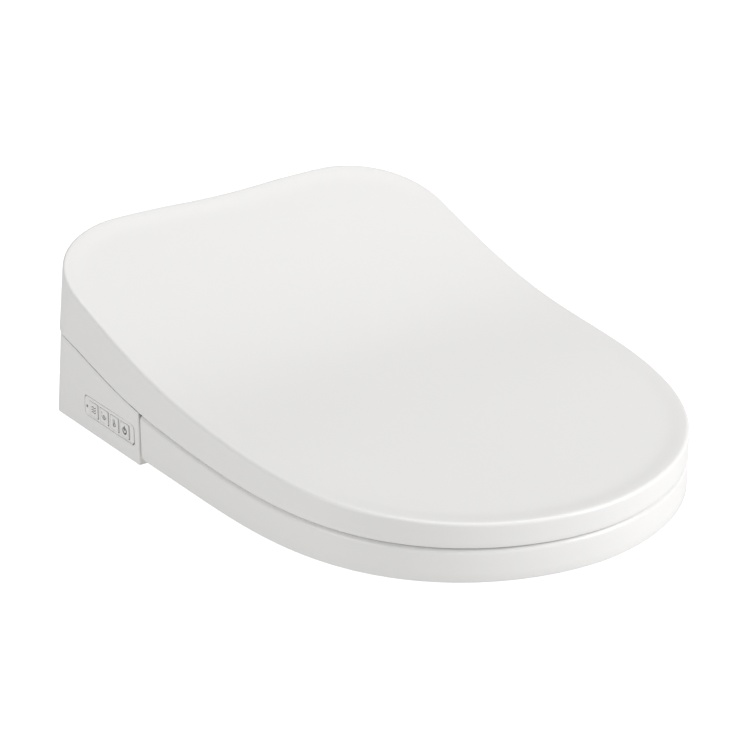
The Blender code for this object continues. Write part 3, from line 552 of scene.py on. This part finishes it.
def lid():
    outline = lid_outline()
    centre = 0.30
    deep = inset(outline, 0.034)

    def top(drop):
        return lambda x, d: rim(d) - drop

    rows = [ring(shrunk(deep, f, centre), top(LID_DISH)) for f in (0.06, 0.2, 0.4, 0.6, 0.8, 0.92)]
    # from the flat middle out to the rim: a shallow slope that ends in the rim's own edge
    for away in (0.034, 0.028, 0.023, 0.0185, 0.0145, 0.011, 0.0085, 0.0065, 0.005, 0.0038):
        t = (away - LID_EDGE) / (0.020 - LID_EDGE)
        rows.append(ring(inset(outline, away), top(LID_DISH * step(t, 0, 1))))
    turns = [math.radians(a) for a in (0, 15, 30, 45, 60, 75)]
    rows += [ring(inset(outline, LID_EDGE * (1 - math.sin(t))), top(LID_EDGE * (1 - math.cos(t))))
             for t in turns]
    lower = lid_lower_outline()
    lip = 0.001

    def skirt(share, away=0.0, lift=0.0):
        """A ring on the skirt: share 0 is below the rim, 1 the lower edge."""
        high, low = inset(outline, away), inset(lower, away)
        points = []
        for (x, d), (u, v) in zip(high, low):
            start, end = rim(d) - LID_EDGE, parting(v) + LID_LIFT + lift
            z = mix(start, end, share)
            lean = min(max((start - z) / (start - LOWER_HEIGHT), 0), 1) if v > FRONT_DEPTH else 0
            points.append(Vector((mix(x, u, lean), y_at(mix(d, v, lean)), z)))
        return points

    rows += [skirt(share, lift=lip) for share in (0, 0.2, 0.4, 0.6, 0.8)]
    rows += [skirt(1, lip * (1 - math.cos(t)), lip * (1 - math.sin(t)))
             for t in (0, math.radians(45), math.radians(90))]
    rows += [skirt(1, WALL - 0.0004), skirt(1, WALL, 0.0004), skirt(0.5, WALL), skirt(0.12, WALL),
             ring(inset(outline, WALL + 0.0012), top(WALL + 0.0024)),
             ring(inset(outline, WALL + 0.004), top(WALL + 0.0006)),
             ring(deep, top(WALL + LID_DISH))]
    rows += [ring(shrunk(deep, f, centre), top(WALL + LID_DISH)) for f in (0.8, 0.6, 0.4, 0.2, 0.06)]
    obj = loft("lid", rows, "lid", WHITE, "lid_shell", sharp=50, slot="shell_white")

    a, b = LID_PIVOT
    corner = [(a, b - 0.04), *arc(LID_PIVOT, LID_CORNER_RADIUS, -90, 0, 16),
              (a + LID_CORNER_RADIUS, LID_REAR_EDGE - 0.006),
              *[(x + 2 * (a + LID_CORNER_RADIUS + 0.006 - x), z) for x, z in
                arc((a + LID_CORNER_RADIUS + 0.006, LID_REAR_EDGE - 0.006), 0.006, 0, 90, 8)],
              (LENGTH + 0.02, LID_REAR_EDGE), (LENGTH + 0.02, b - 0.04)]
    cut(obj, prism(bmesh.new(), corner, -0.25, 0.25))
    lid_legs()
    lid_ribs()


def lid_legs():
    """Two legs that reach down from the lid's roof to its pivots."""
    a = LID_PIVOT[0]
    for name, side in (("lid_leg_right", -1), ("lid_leg_left", 1)):
        low, high = sorted((side * 0.1733, side * 0.1768))
        shape = [*arc(LID_PIVOT, 0.0065, 180, 360, 20), (a + 0.0065, rim(a + 0.0065) - 0.004),
                 (a - 0.0065, rim(a - 0.0065) - 0.004)]
        bm = prism(bmesh.new(), shape, low, high)
        bmesh.ops.bevel(bm, geom=bm.edges[:], offset=0.0004, segments=2, affect="EDGES", profile=0.5)
        make(name, bm, "lid", WHITE, slot="shell_white")


def lid_ribs():
    """A shallow stiffening rib under the lid: an inner ring."""
    outline = lid_outline()

    def under(drop):
        return lambda x, d: rim(d) - WALL - LID_DISH - drop

    rows = [ring(inset(outline, 0.026), under(-0.0008)), ring(inset(outline, 0.026), under(0.0022)),
            ring(inset(outline, 0.0266), under(0.0030)), ring(inset(outline, 0.0274), under(0.0030)),
            ring(inset(outline, 0.028), under(0.0022)), ring(inset(outline, 0.028), under(-0.0008))]
    loft("lid_inner_rib", rows, "lid", WHITE, closed=True, slot="shell_white")


def lid_bumpers():
    for name in ("lid_bumper_right", "lid_bumper_left"):
        low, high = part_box(name)
        x, y = (low[0] + high[0]) / 2, (low[1] + high[1]) / 2
        bm = bmesh.new()
        profile = [(0.0035, low[2] + 0.0004), (0.0052, low[2] + 0.0004), (0.0059, low[2] + 0.0012),
                   (0.0060, low[2] + 0.0060), (0.0060, low[2] + 0.0075), (0.0048, low[2] + 0.0080),
                   (0.0046, low[2] + 0.0100), (0.0052, high[2])]
        turned(bm, profile, (x, y - FRONT, 0), (0, 0, 1))
        make(name + "_pad", bm, "lid", RUBBER, name, slot="bumper_rubber")


# ---------------------------------------------------------------- seat

def opening_point(point, shift=0.0):
    half, front, rear = OPENING
    middle = (front + rear) / 2
    across, along = half - shift, (rear - front) / 2 - shift
    dx, dy = point[0], point[1] - middle
    size = math.hypot(dx, dy)
    c, s = abs(dx / size), abs(dy / size)
    reach = ((c / across) ** OPENING_POWER + (s / along) ** OPENING_POWER) ** (-1 / OPENING_POWER)
    return (dx / size * reach, middle + dy / size * reach)


def seat_under(x, depth):
    """The seat's underside: level, with a raised bridge above the wand, and a rounded rear end."""
    raised = (1 - step(abs(x), 0.095, 0.112)) * step(depth, 0.285, 0.305)
    bridge = BRIDGE_UNDER - BRIDGE_SLOPE * (SEAT_REAR - depth)
    height = SEAT_UNDER + (bridge - SEAT_UNDER) * raised
    radius = 0.0065
    past = depth - (SEAT_REAR - radius)
    if past > 0 and raised < 0.5:
        height += radius - math.sqrt(max(radius ** 2 - min(past, radius) ** 2, 0))
    return height


def seat_height(depth):
    return parting(depth) - SEAT_DROP


def seat():
    outer = seat_outline()
    hole = [opening_point(p) for p in outer]
    edge, lip = SEAT_EDGE, 0.0010

    def top(drop):
        return lambda x, d: seat_height(d) - drop

    def under(lift):
        return lambda x, d: seat_under(x, d) + lift

    turns = [math.radians(a) for a in (90, 75, 60, 45, 30, 15, 0)]
    rows = [ring(inset(outer, lip * (1 - math.sin(t))), under(lip * (1 - math.cos(t))))
            for t in (0, math.radians(45), math.radians(90))]
    rows += [ring(outer, lambda x, d, s=s: mix(seat_under(x, d) + lip, seat_height(d) - edge, s))
             for s in (0.35, 0.7, 1)]
    rows += [ring(inset(outer, edge * (1 - math.sin(t))), top(edge * (1 - math.cos(t))))
             for t in turns[1:]]
    crest = inset(outer, edge)
    # the crown falls gently to the opening, then rolls over into its wall
    for share, drop in ((0.12, 0.0), (0.28, 0.0002), (0.45, 0.0007), (0.6, 0.0014), (0.72, 0.0022),
                        (0.82, 0.0031), (0.89, 0.0040)):
        rows.append(ring(between(crest, hole, share), top(drop)))
    roll = 0.0052
    for t in turns[::-1]:
        rows.append(ring([opening_point(p, -roll * (1 - math.sin(t))) for p in outer],
                         top(0.0052 + roll * (1 - math.cos(t)))))
    rows += [ring([opening_point(p, -lip * (1 - math.cos(t))) for p in outer], under(lip * (1 - math.sin(t))))
             for t in (0, math.radians(45), math.radians(90))]
    near = [opening_point(p, -WALL) for p in outer]
    far = inset(outer, WALL)
    rows += [ring(near, under(0)), ring(near, top(0.0125)), ring(between(crest, hole, 0.5), top(0.0050)),
             ring(between(crest, hole, 0.08), top(0.0045)), ring(far, top(0.0085)), ring(far, under(0))]
    loft("seat", rows, "seat", WHITE, "seat_top", closed=True, sharp=50, slot="shell_white")
    seat_arms()


def seat_arms():
    """The seat's two hinge arms: a web from the seat to a knuckle round the pin."""
    root = (0.3485, 0.0385)
    for name, side in (("seat_arm_right", -1), ("seat_arm_left", 1)):
        low, high = sorted((side * 0.1138, side * 0.1368))
        along = Vector((SEAT_PIVOT[0] - root[0], SEAT_PIVOT[1] - root[1])).normalized()
        across = Vector((-along.y, along.x))
        start, end = Vector(root), Vector(SEAT_PIVOT)
        lean = math.degrees(math.atan2(along.y, along.x))
        bottom, top = start - across * 0.004, start + across * 0.004
        web = [tuple(bottom), *arc(tuple(end), 0.0108, lean - 115, lean + 115, 30), tuple(top)]
        bm = prism(bmesh.new(), web, low, high)
        rim_edges = [e for e in bm.edges if abs(e.verts[0].co.x - e.verts[1].co.x) < 1e-6]
        bmesh.ops.bevel(bm, geom=rim_edges, offset=0.0008, segments=3, affect="EDGES", profile=0.5)
        make(name, bm, "seat", WHITE, slot="shell_white")


def seat_plate():
    """The closing plate under the seat, with a raised rib along its middle."""
    outer = seat_outline()
    far = inset(outer, WALL + 0.0003)
    near = [opening_point(p, -WALL - 0.0003) for p in outer]

    def under(lift):
        return lambda x, d: seat_under(x, d) + lift

    shares = [(0, 0.0014), (0.02, 0.0009), (0.05, 0.0009), (0.07, 0.0017), (0.42, 0.0017), (0.44, 0.0009),
              (0.56, 0.0009), (0.58, 0.0017), (0.93, 0.0017), (0.95, 0.0009), (0.98, 0.0009), (1, 0.0014)]
    rows = [ring(between(far, near, s), under(lift)) for s, lift in shares]
    rows += [ring(near, under(0.0032)), ring(far, under(0.0032))]
    loft("seat_underside", rows, "seat", INNER_WHITE, "seat_base", closed=True, sharp=40, slot="inner_white")


def seat_bumpers():
    for place in ("front_right", "front_left", "rear_right", "rear_left"):
        name = "seat_bumper_" + place
        low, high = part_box(name)
        x, y = (low[0] + high[0]) / 2, (low[1] + high[1]) / 2
        bm = bmesh.new()
        profile = [(0.0052, 0.0007), (0.0058, 0), (0.0070, 0), (0.0080, 0.0006), (0.0085, 0.0018),
                   (0.0085, 0.0045), (0.0076, 0.0052), (0.0076, high[2])]
        turned(bm, profile, (x, y - FRONT, 0), (0, 0, 1))
        make(name + "_pad", bm, "seat", RUBBER, name, slot="bumper_rubber")


# ---------------------------------------------------------------- housing

def wall_top(x, depth):
    side = parting(min(depth, LID_PIVOT[0])) - HOUSING_DROP
    front = 1 - step(abs(x), 0.1835, HALF - 0.0015)
    rear = step(depth, 0.488, HOUSING_REAR - 0.001)
    height = side + (REAR_WALL_TOP - side) * rear
    if depth < HOUSING_FRONT + 0.01:
        height += (SHELF - height) * front
    return height


def housing():
    outline = housing_outline()
    inner = inset(outline, WALL)
    lip = 0.0006
    turns = (0, math.radians(45), math.radians(90))
    rows = [ring(shrunk(inner, 0.5, 0.4265), FLOOR), ring(inner, FLOOR), ring(inner, 0.0003),
            ring(inset(outline, WALL - 0.0003), 0)]
    rows += [ring(inset(outline, lip * (1 - math.sin(t))), lip * (1 - math.cos(t))) for t in turns]
    upper = housing_outline(LOWER_HEIGHT)

    def wall(share, away=0.0, drop=0.0):
        """A ring on the wall: share 0 is the floor's edge, 1 the wall's top."""
        low, high = inset(outline, away), inset(upper, away)
        points = []
        for (x, d), (u, v) in zip(low, high):
            z = mix(lip, wall_top(u, v) - drop, share)
            lean = min(z / LOWER_HEIGHT, 1)
            points.append(Vector((mix(x, u, lean), y_at(mix(d, v, lean)), z)))
        return points

    rows += [wall(share, drop=lip) for share in (0.25, 0.5, 0.75)]
    rows += [wall(1, lip * (1 - math.cos(t)), lip * (1 - math.sin(t))) for t in turns]
    rows += [wall(1, WALL), wall(0.5, WALL), ring(inner, FLOOR + WALL),
             ring(shrunk(inner, 0.5, 0.4265), FLOOR + WALL)]
    obj = loft("housing_side", rows, "housing", WHITE, "housing_base", sharp=40, slot="shell_white")

    holes = bmesh.new()
    skin(holes, [[Vector((x, y_at(d), z)) for d, z in panel_outline()] for x in (-0.2, -0.18)])
    cut(obj, holes)
    boxes = [((0.18, 0.4195, 0.0125), (0.2, 0.4405, 0.0225)),
             ((-0.0125, 0.35, 0.0098), (0.0125, 0.365, 0.0325)),
             ((0.038, 0.35, 0.0135), (0.078, 0.365, 0.0305))]
    for low, high in boxes:
        tool = bmesh.new()
        rounded_box(tool, low, high, 0.0015)
        cut(obj, tool)
    for x, radius in ((-PORT_SIDE, 0.0108), (PORT_SIDE, 0.0083)):
        tool = bmesh.new()
        turned(tool, [(radius, 0.48 - HOUSING_REAR), (radius, 0.51 - HOUSING_REAR)],
               (x, HOUSING_REAR, PORT_HEIGHT), (0, 1, 0))
        cut(obj, tool)


def roof(drop):
    return lambda x, d: rim(d) - WALL - 0.0045 - drop


def cover():
    """The inner cover: flange, tower with a rounded roof edge, and the hump round the seat's pins."""
    tower = tower_outline()
    count = len(tower)
    flange = spread(inset(housing_outline(SHELF), WALL + 0.0005), count)
    inner = inset(tower, WALL)
    centre = 0.447
    edge = 0.006
    turns = [math.radians(a) for a in (0, 22.5, 45, 67.5, 90)]
    rows = [ring(shrunk(inner, 0.3, centre), roof(WALL)), ring(shrunk(inner, 0.85, centre), roof(WALL)),
            ring(inner, roof(0.010)), ring(inner, SHELF - WALL), ring(flange, SHELF - WALL),
            ring(flange, SHELF), ring(inset(tower, -0.0012), SHELF), ring(tower, SHELF + 0.0012)]
    rows += [ring(inset(tower, edge * (1 - math.cos(t))), roof(edge * (1 - math.sin(t)))) for t in turns]
    rows += [ring(shrunk(inset(tower, edge), f, centre), roof(0)) for f in (0.8, 0.5, 0.2)]
    shell = loft("cover", rows, "housing", WHITE, "housing_cover", sharp=40, slot="shell_white")
    cut(shell, wand_path())

    a, b = SEAT_PIVOT
    shape = [*arc(SEAT_PIVOT, HUMP_RADIUS, 180, 90, 20), (0.4000, b + HUMP_RADIUS), (0.4000, SHELF - 0.001),
             (a - HUMP_RADIUS + 0.006, SHELF - 0.001), (a - HUMP_RADIUS, SHELF + 0.007)]
    bm = prism(bmesh.new(), shape, -HUMP_HALF, HUMP_HALF)
    ends = [e for e in bm.edges if abs(e.verts[0].co.x - e.verts[1].co.x) < 1e-6]
    bmesh.ops.bevel(bm, geom=ends, offset=0.0025, segments=4, affect="EDGES", profile=0.5)
    hump = make("cover_hump", bm, "housing", WHITE, slot="shell_white")
    cut(hump, wand_path())


def wand_path():
    """The space that the wand and its rack slide through, as a tool for cut()."""
    c, s = math.cos(WAND_ANGLE), math.sin(WAND_ANGLE)
    (front, rear), (low, high) = WAND_PATH
    corners = [(front, low), (rear, low), (rear, high), (front, high)]
    profile = [(WAND_FRONT[0] + along * c - up * s, WAND_FRONT[1] + along * s + up * c)
               for along, up in corners]
    return prism(bmesh.new(), profile, -WAND_PATH_HALF, WAND_PATH_HALF)


def spread(outline, count):
    """A closed outline resampled to a number of points, both halves alike."""
    half = [p for p in outline if p[0] > -1e-6]
    need = (count + 2) // 2
    run = [0.0]
    for a, b in zip(half, half[1:]):
        run.append(run[-1] + math.dist(a, b))
    out = []
    k = 0
    for i in range(need):
        place = run[-1] * i / (need - 1)
        while k < len(half) - 2 and run[k + 1] < place:
            k += 1
        t = (place - run[k]) / (run[k + 1] - run[k])
        out.append((mix(half[k][0], half[k + 1][0], t), mix(half[k][1], half[k + 1][1], t)))
    out[0] = (0, out[0][1])
    out[-1] = (0, out[-1][1])
    return mirrored(out)


# ---------------------------------------------------------------- side panel

def rounded_rectangle(low, high, radius):
    """A rounded rectangle as (depth, height) points, the same count for every size."""
    (d0, z0), (d1, z1) = low, high
    r = radius
    points = []
    for centre, start in (((d1 - r, z1 - r), 0), ((d0 + r, z1 - r), 90), ((d0 + r, z0 + r), 180),
                          ((d1 - r, z0 + r), 270)):
        points += arc(centre, r, start, start + 90, 8)
    return points


def panel_outline():
    (d0, d1), (z0, z1) = PANEL
    return rounded_rectangle((d0, z0), (d1, z1), PANEL_CORNER)


def panel_floor(depth):
    """X of the bezel's face, which lies deeper at its front end."""
    t = (depth - PANEL[0][0]) / (PANEL[0][1] - PANEL[0][0])
    return -HALF + mix(PANEL_DEEP, PANEL_SHALLOW, min(max(t, 0), 1))


def plate(low, high, radius, face, back, edge=0.0004):
    """A thin plate with rounded corners and a rounded front edge; face gives X for a depth."""
    bm = bmesh.new()
    rows = []
    for shift, sink in ((0, back), (0, edge), (edge * 0.3, edge * 0.3), (edge, 0), (edge * 4, 0)):
        path = rounded_rectangle((low[0] + shift, low[1] + shift), (high[0] - shift, high[1] - shift),
                                 max(radius - shift, 0.0002))
        rows.append([bm.verts.new((face(d) + sink, y_at(d), z)) for d, z in path])
    for near, far in zip(rows, rows[1:]):
        for i in range(len(near)):
            j = (i + 1) % len(near)
            bm.faces.new((near[i], near[j], far[j], far[i]))
    bm.faces.new(rows[-1])
    bm.faces.new(rows[0])
    return bm


def bezel():
    (d0, d1), (z0, z1) = PANEL
    low, high = (d0 + PANEL_SLOT[0], z0 + 0.0001), (d1 - 0.0001, z1 - PANEL_SLOT[1])
    bm = plate(low, high, PANEL_CORNER - 0.0005, panel_floor, 0.0035, 0.0002)
    obj = make("bezel", bm, "housing", PANEL_WHITE, "control_bezel", slot="panel_white")
    half_w, half_h = KEY_SIZE[0] / 2, KEY_SIZE[1] / 2
    for i in range(4):
        depth = KEY_FIRST + KEY_PITCH * i
        window = rounded_rectangle((depth - half_w - KEY_SLOT[0], KEY_MIDDLE - half_h - 0.0002),
                                   (depth + half_w + 0.0002, KEY_MIDDLE + half_h + KEY_SLOT[1]), 0.0014)
        rows = [[Vector((x, y_at(d), z)) for d, z in window] for x in (-0.2, -0.18)]
        cut(obj, skin(bmesh.new(), rows))
    # a dark plastic plate behind the bezel: partly the panel's dark backing, partly painted shade. It shows
    # through the wider gaps at the front and top edges as the dark shadow lines there
    back = plate((d0 + 0.0002, z0 + 0.0003), (d1 - 0.0003, z1 - 0.0003), PANEL_CORNER - 0.0003,
                 lambda d: -HALF + 0.0052, 0.0006)
    make("bezel_back_painted_shade", back, "housing", DARK, slot="dark_plastic")


def key_face(depth, index):
    """X of a key's face, level with the bezel at its rear end and a little proud at its front."""
    start = KEY_FIRST + KEY_PITCH * index - KEY_SIZE[0] / 2
    return panel_floor(depth) - mix(0.0003, 0.00005, (depth - start) / KEY_SIZE[0])


def keys():
    half_w, half_h = KEY_SIZE[0] / 2, KEY_SIZE[1] / 2
    for i, name in enumerate(("power", "nozzle", "wash", "dry")):
        depth = KEY_FIRST + KEY_PITCH * i
        bm = plate((depth - half_w, KEY_MIDDLE - half_h), (depth + half_w, KEY_MIDDLE + half_h), 0.0013,
                   lambda d, i=i: key_face(d, i), KEY_THICK, 0.0003)
        make("key_" + name, bm, name + "_key", PANEL_WHITE, "button_" + name, slot="panel_white")
        icon(name, i)


def icon(name, index):
    """The key's generic symbol, as thin raised ink strokes in millimetres from the key's middle."""
    centre = KEY_FIRST + KEY_PITCH * index
    strokes, width, material = ICONS[name]
    bm = bmesh.new()
    for points in strokes:
        ribbon(bm, points, width / 2, lambda u, v, lift: Vector(
            (key_face(centre - u / 1000, index) + 0.00003 - lift, y_at(centre - u / 1000),
             KEY_MIDDLE + v / 1000)))
    make("icon_" + name, bm, name + "_key", material)


def ribbon(bm, points, half, place):
    """A flat stroke of even width with round ends along a path, 0.1 mm thick."""
    path = [Vector(p) for p in points]
    left, right = [], []
    for i, here in enumerate(path):
        ahead = path[min(i + 1, len(path) - 1)] - path[max(i - 1, 0)]
        normal = Vector((-ahead.y, ahead.x)).normalized() * half
        left.append(here + normal)
        right.append(here - normal)

    def cap(end, direction):
        base = math.atan2(direction.y, direction.x)
        return [end + Vector((math.cos(base + a), math.sin(base + a))) * half
                for a in [math.pi / 2 * (1 - 2 * k / 6) for k in range(1, 6)]]

    outline = left + cap(path[-1], (path[-1] - path[-2])) + right[::-1] + cap(path[0], (path[0] - path[1]))
    low = [bm.verts.new(place(p.x, p.y, 0)) for p in outline]
    high = [bm.verts.new(place(p.x, p.y, 0.0001)) for p in outline]
    count = len(path)
    for i in range(len(outline)):
        j = (i + 1) % len(outline)
        bm.faces.new((low[i], low[j], high[j], high[i]))
    # the stroke is a strip of quads between its two sides, closed by its two caps
    caps = len(outline) - 2 * count
    first = caps // 2
    for rowset in (low, high):
        lefts = rowset[:count]
        rights = rowset[count + first:2 * count + first][::-1]
        for k in range(count - 1):
            bm.faces.new((lefts[k], lefts[k + 1], rights[k + 1], rights[k]))
        bm.faces.new([lefts[-1], *rowset[count:count + first], rights[-1]])
        bm.faces.new([rights[0], *rowset[2 * count + first:], lefts[0]])


WAVE_LENGTH = 6.4
WAVE_SIZE = 0.75


def wave(height):
    """A wavy line that rises a little to the right."""
    return [(WAVE_LENGTH * (k / 20 - 0.5), height + WAVE_SIZE * math.sin(2 * math.pi * k / 20) + 0.07 * k)
            for k in range(21)]


# strokes in millimetres from each key's middle, then their width and ink
ICONS = {
    "power": ([arc((0, -0.5), 2.7, 128, 412, 30), [(0, 0.1), (0, 1.5), (0, 3.2)]], 1.25, INK),
    "nozzle": ([[(-1.5, -3.2), (-1.5, 0), (-1.5, 3.4)], arc((0.7, -1.2), 1.3, 0, 350, 20),
                [(0.7, 0.6), (0.7, 2.0), (0.7, 3.2)]], 0.62, PALE_INK),
    "wash": ([arc((0, 1.1), 3.4, 195, 345, 20), arc((0.2, 0.1), 1.1, 0, 350, 16),
              [(-3.0, 1.6), (-3.2, 2.6), (-3.2, 3.4)]], 0.6, PALE_INK),
    "dry": ([wave(-2.9), wave(-0.7), wave(1.5)], 0.62, PALE_INK),
}


def status_light():
    low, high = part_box("status_led_lens")
    depth = (low[1] + high[1]) / 2 - FRONT
    bm = bmesh.new()
    turned(bm, [(0.0013, -0.004), (0.0013, 0.0), (0.0011, 0.00015), (0.0006, 0.00025)],
           (panel_floor(depth), depth, KEY_MIDDLE), (-1, 0, 0), 24)
    make("status_light", bm, "housing", LENS, "status_led_lens", slot="led_lens")


def release_button():
    low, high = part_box("release_button")
    bm = bmesh.new()
    rounded_box(bm, (low[0], low[1] - FRONT, low[2]), (high[0], high[1] - FRONT, high[2]), 0.001, 4)
    for k in range(3):
        depth = (low[1] + high[1]) / 2 - FRONT + (k - 1) * 0.0035
        rounded_box(bm, (high[0] - 0.001, depth - 0.0006, low[2] + 0.002),
                    (high[0] + 0.0002, depth + 0.0006, high[2] - 0.002), 0.00025, 2)
    make("release_key", bm, "release", PANEL_WHITE, "release_button", slot="panel_white")


# ---------------------------------------------------------------- underside, ports and nozzle

def bracket():
    """The bowl bracket: rounded plate with two long bolt slots and four shallow notches cut into it."""
    low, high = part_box("mounting_bracket")
    bm = bmesh.new()
    rounded_box(bm, (low[0], low[1] - FRONT, low[2]), (high[0], high[1] - FRONT, high[2]), 0.0012, 3)
    obj = make("bracket", bm, "housing", INNER_WHITE, "mounting_bracket", slot="inner_white")
    for side in (-1, 1):
        tool = bmesh.new()
        x = side * 0.070
        ring_points = [Vector((x + px, y_at(0.424) + py, 0)) for px, py in
                       [(0.0055 * math.cos(t), 0.0185 + 0.0055 * math.sin(t)) for t in
                        [math.pi * k / 12 for k in range(13)]]
                       + [(0.0055 * math.cos(t), -0.0185 + 0.0055 * math.sin(t)) for t in
                          [math.pi + math.pi * k / 12 for k in range(13)]]]
        skin(tool, [[p + Vector((0, 0, z)) for p in ring_points] for z in (-0.01, 0.02)])
        cut(obj, tool)
        for depth in (0.382, 0.472):
            tool = bmesh.new()
            rounded_box(tool, (side * 0.040 - 0.028, depth - 0.005, -0.001),
                        (side * 0.040 + 0.028, depth + 0.005, 0.0018), 0.0008, 2)
            cut(obj, tool)


def water_inlet():
    bm = bmesh.new()
    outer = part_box("water_inlet")[1][1] - FRONT - HOUSING_REAR
    profile = [(0.0060, -0.0195), (0.0064, -0.0192), (0.0064, -0.0045), (0.0103, -0.0045), (0.0103, 0.0015)]
    along = 0.0015
    while along < outer - 0.0030:
        profile += [(0.0092, along + 0.0004), (0.0092, along + 0.0007), (0.0103, along + 0.0013),
                    (0.0103, along + 0.0016)]
        along += 0.0018
    profile += [(0.0094, outer - 0.0006), (0.0090, outer), (0.0060, outer), (0.0060, outer - 0.010)]
    turned(bm, profile, (-PORT_SIDE, HOUSING_REAR, PORT_HEIGHT), (0, 1, 0), 64)
    make("inlet_stub", bm, "housing", BRASS, "water_inlet", slot="brass")


def cord_gland():
    bm = bmesh.new()
    profile = [(0.0075, -0.0055), (0.0080, -0.005), (0.0080, 0.0003), (0.0105, 0.0003),
               (0.0105, 0.0016), (0.0100, 0.0022), (0.0076, 0.0022)]
    for k in range(4):
        base = 0.0030 + k * 0.0030
        radius = 0.0074 - 0.0004 * k
        profile += [(radius, base), (radius, base + 0.0016), (radius - 0.0012, base + 0.0020),
                    (radius - 0.0012, base + 0.0028)]
    profile += [(0.0056, 0.0152), (0.0054, 0.0160), (0.0036, 0.0160), (0.0036, 0.0100)]
    turned(bm, profile, (PORT_SIDE, HOUSING_REAR, PORT_HEIGHT), (0, 1, 0), 48)
    make("gland", bm, "housing", DARK, "cord_gland", slot="dark_plastic")


def nozzle_tip():
    """The wand's front end: rounded, with spray holes on its upper side."""
    back = Vector((0, math.cos(WAND_ANGLE), math.sin(WAND_ANGLE)))
    up = Vector((0, -math.sin(WAND_ANGLE), math.cos(WAND_ANGLE)))
    start = Vector((0, y_at(WAND_FRONT[0]), WAND_FRONT[1]))
    rings = []
    for radius, along in [(0.0012, 0.0), (0.0042, 0.0004), (0.0062, 0.0014), (0.0074, 0.0030),
                          (0.0079, 0.0052), (0.0080, 0.0075), (0.0080, 0.0245), (0.0076, 0.0250),
                          (0.0076, 0.0258), (0.0040, 0.0259)]:
        rings.append([start + back * along + (Vector((1, 0, 0)) * math.cos(t) + up * math.sin(t)) * radius
                      for t in [2 * math.pi * k / 48 for k in range(48)]])
    obj = make("wand_tip", skin(bmesh.new(), rings), "wand", PANEL_WHITE, "nozzle_tip", slot="inner_white")
    for across, along in ((0, 0.009), (-0.0022, 0.0115), (0.0022, 0.0115), (0, 0.014), (-0.0022, 0.0165),
                          (0.0022, 0.0165), (0, 0.019)):
        tool = bmesh.new()
        centre = start + back * along + Vector((across, 0, 0)) + up * 0.0078
        turn = up.to_track_quat("Z", "Y").to_matrix().to_4x4()
        bmesh.ops.create_cone(tool, cap_ends=True, segments=16, radius1=0.0006, radius2=0.0006, depth=0.003,
                              matrix=Matrix.Translation(centre) @ turn)
        cut(obj, tool)


# ---------------------------------------------------------------- stage, light and camera

CAMERA_AZIMUTH = -36.018      # degrees from straight ahead, towards the panel's side
CAMERA_ELEVATION = 24.086
CAMERA_DISTANCE = 2.355
CAMERA_AIM = (0.0704, 0.1274, 0.0)
CAMERA_LENS = 129.6


def camera():
    data = bpy.data.cameras.new("camera")
    data.lens = CAMERA_LENS
    data.clip_end = 30
    cam = bpy.data.objects.new("camera", data)
    bpy.context.scene.collection.objects.link(cam)
    a, e = math.radians(CAMERA_AZIMUTH), math.radians(CAMERA_ELEVATION)
    back = Vector((math.sin(a) * math.cos(e), -math.cos(a) * math.cos(e), math.sin(e)))
    cam.location = Vector(CAMERA_AIM) + back * CAMERA_DISTANCE
    cam.rotation_euler = back.to_track_quat("Z", "Y").to_euler()
    bpy.context.scene.camera = cam


def area_light(name, place, size, power):
    data = bpy.data.lights.new(name, "AREA")
    data.shape = "SQUARE"
    data.size = size
    data.energy = power
    obj = bpy.data.objects.new(name, data)
    bpy.context.scene.collection.objects.link(obj)
    obj.location = place
    obj.rotation_euler = Vector(place).to_track_quat("Z", "Y").to_euler()


def stage():
    mesh = bpy.data.meshes.new("floor")
    bm = bmesh.new()
    below = Matrix.Translation((0, 0, -0.0004))
    bmesh.ops.create_circle(bm, cap_ends=True, radius=9, segments=64, matrix=below)
    bm.to_mesh(mesh)
    bm.free()
    floor = bpy.data.objects.new("floor", mesh)
    bpy.context.scene.collection.objects.link(floor)
    look = Look("floor", (0.35, 0.35, 0.35), 0.9)
    look.shader.inputs["Emission Color"].default_value = (1, 1, 1, 1)
    seen = look.tree.nodes.new("ShaderNodeLightPath").outputs["Is Camera Ray"]
    glow = look.node("ShaderNodeMapRange")
    glow.inputs["To Min"].default_value = 0.42
    glow.inputs["To Max"].default_value = 1.0
    look.link(seen, glow.inputs["Value"])
    look.link(glow.outputs["Result"], look.shader.inputs["Emission Strength"])
    mesh.materials.append(look.material)

    world = bpy.data.worlds.new("studio")
    world.use_nodes = True
    world.node_tree.nodes["Background"].inputs["Color"].default_value = (1, 1, 1, 1)
    world.node_tree.nodes["Background"].inputs["Strength"].default_value = 0.27
    bpy.context.scene.world = world
    bpy.context.scene.view_settings.view_transform = "Standard"

    area_light("key_right", (1.75, -2.25, 1.5), 1.6, 66)
    area_light("fill_left", (-2.5, -0.1, 0.7), 1.6, 18)
    area_light("top", (0.2, -0.2, 2.6), 2.2, 26)


stage()
camera()
dress_nodes()
lid()
lid_bumpers()
seat()
seat_plate()
seat_bumpers()
housing()
cover()
bezel()
keys()
status_light()
release_button()
bracket()
water_inlet()
cord_gland()
nozzle_tip()
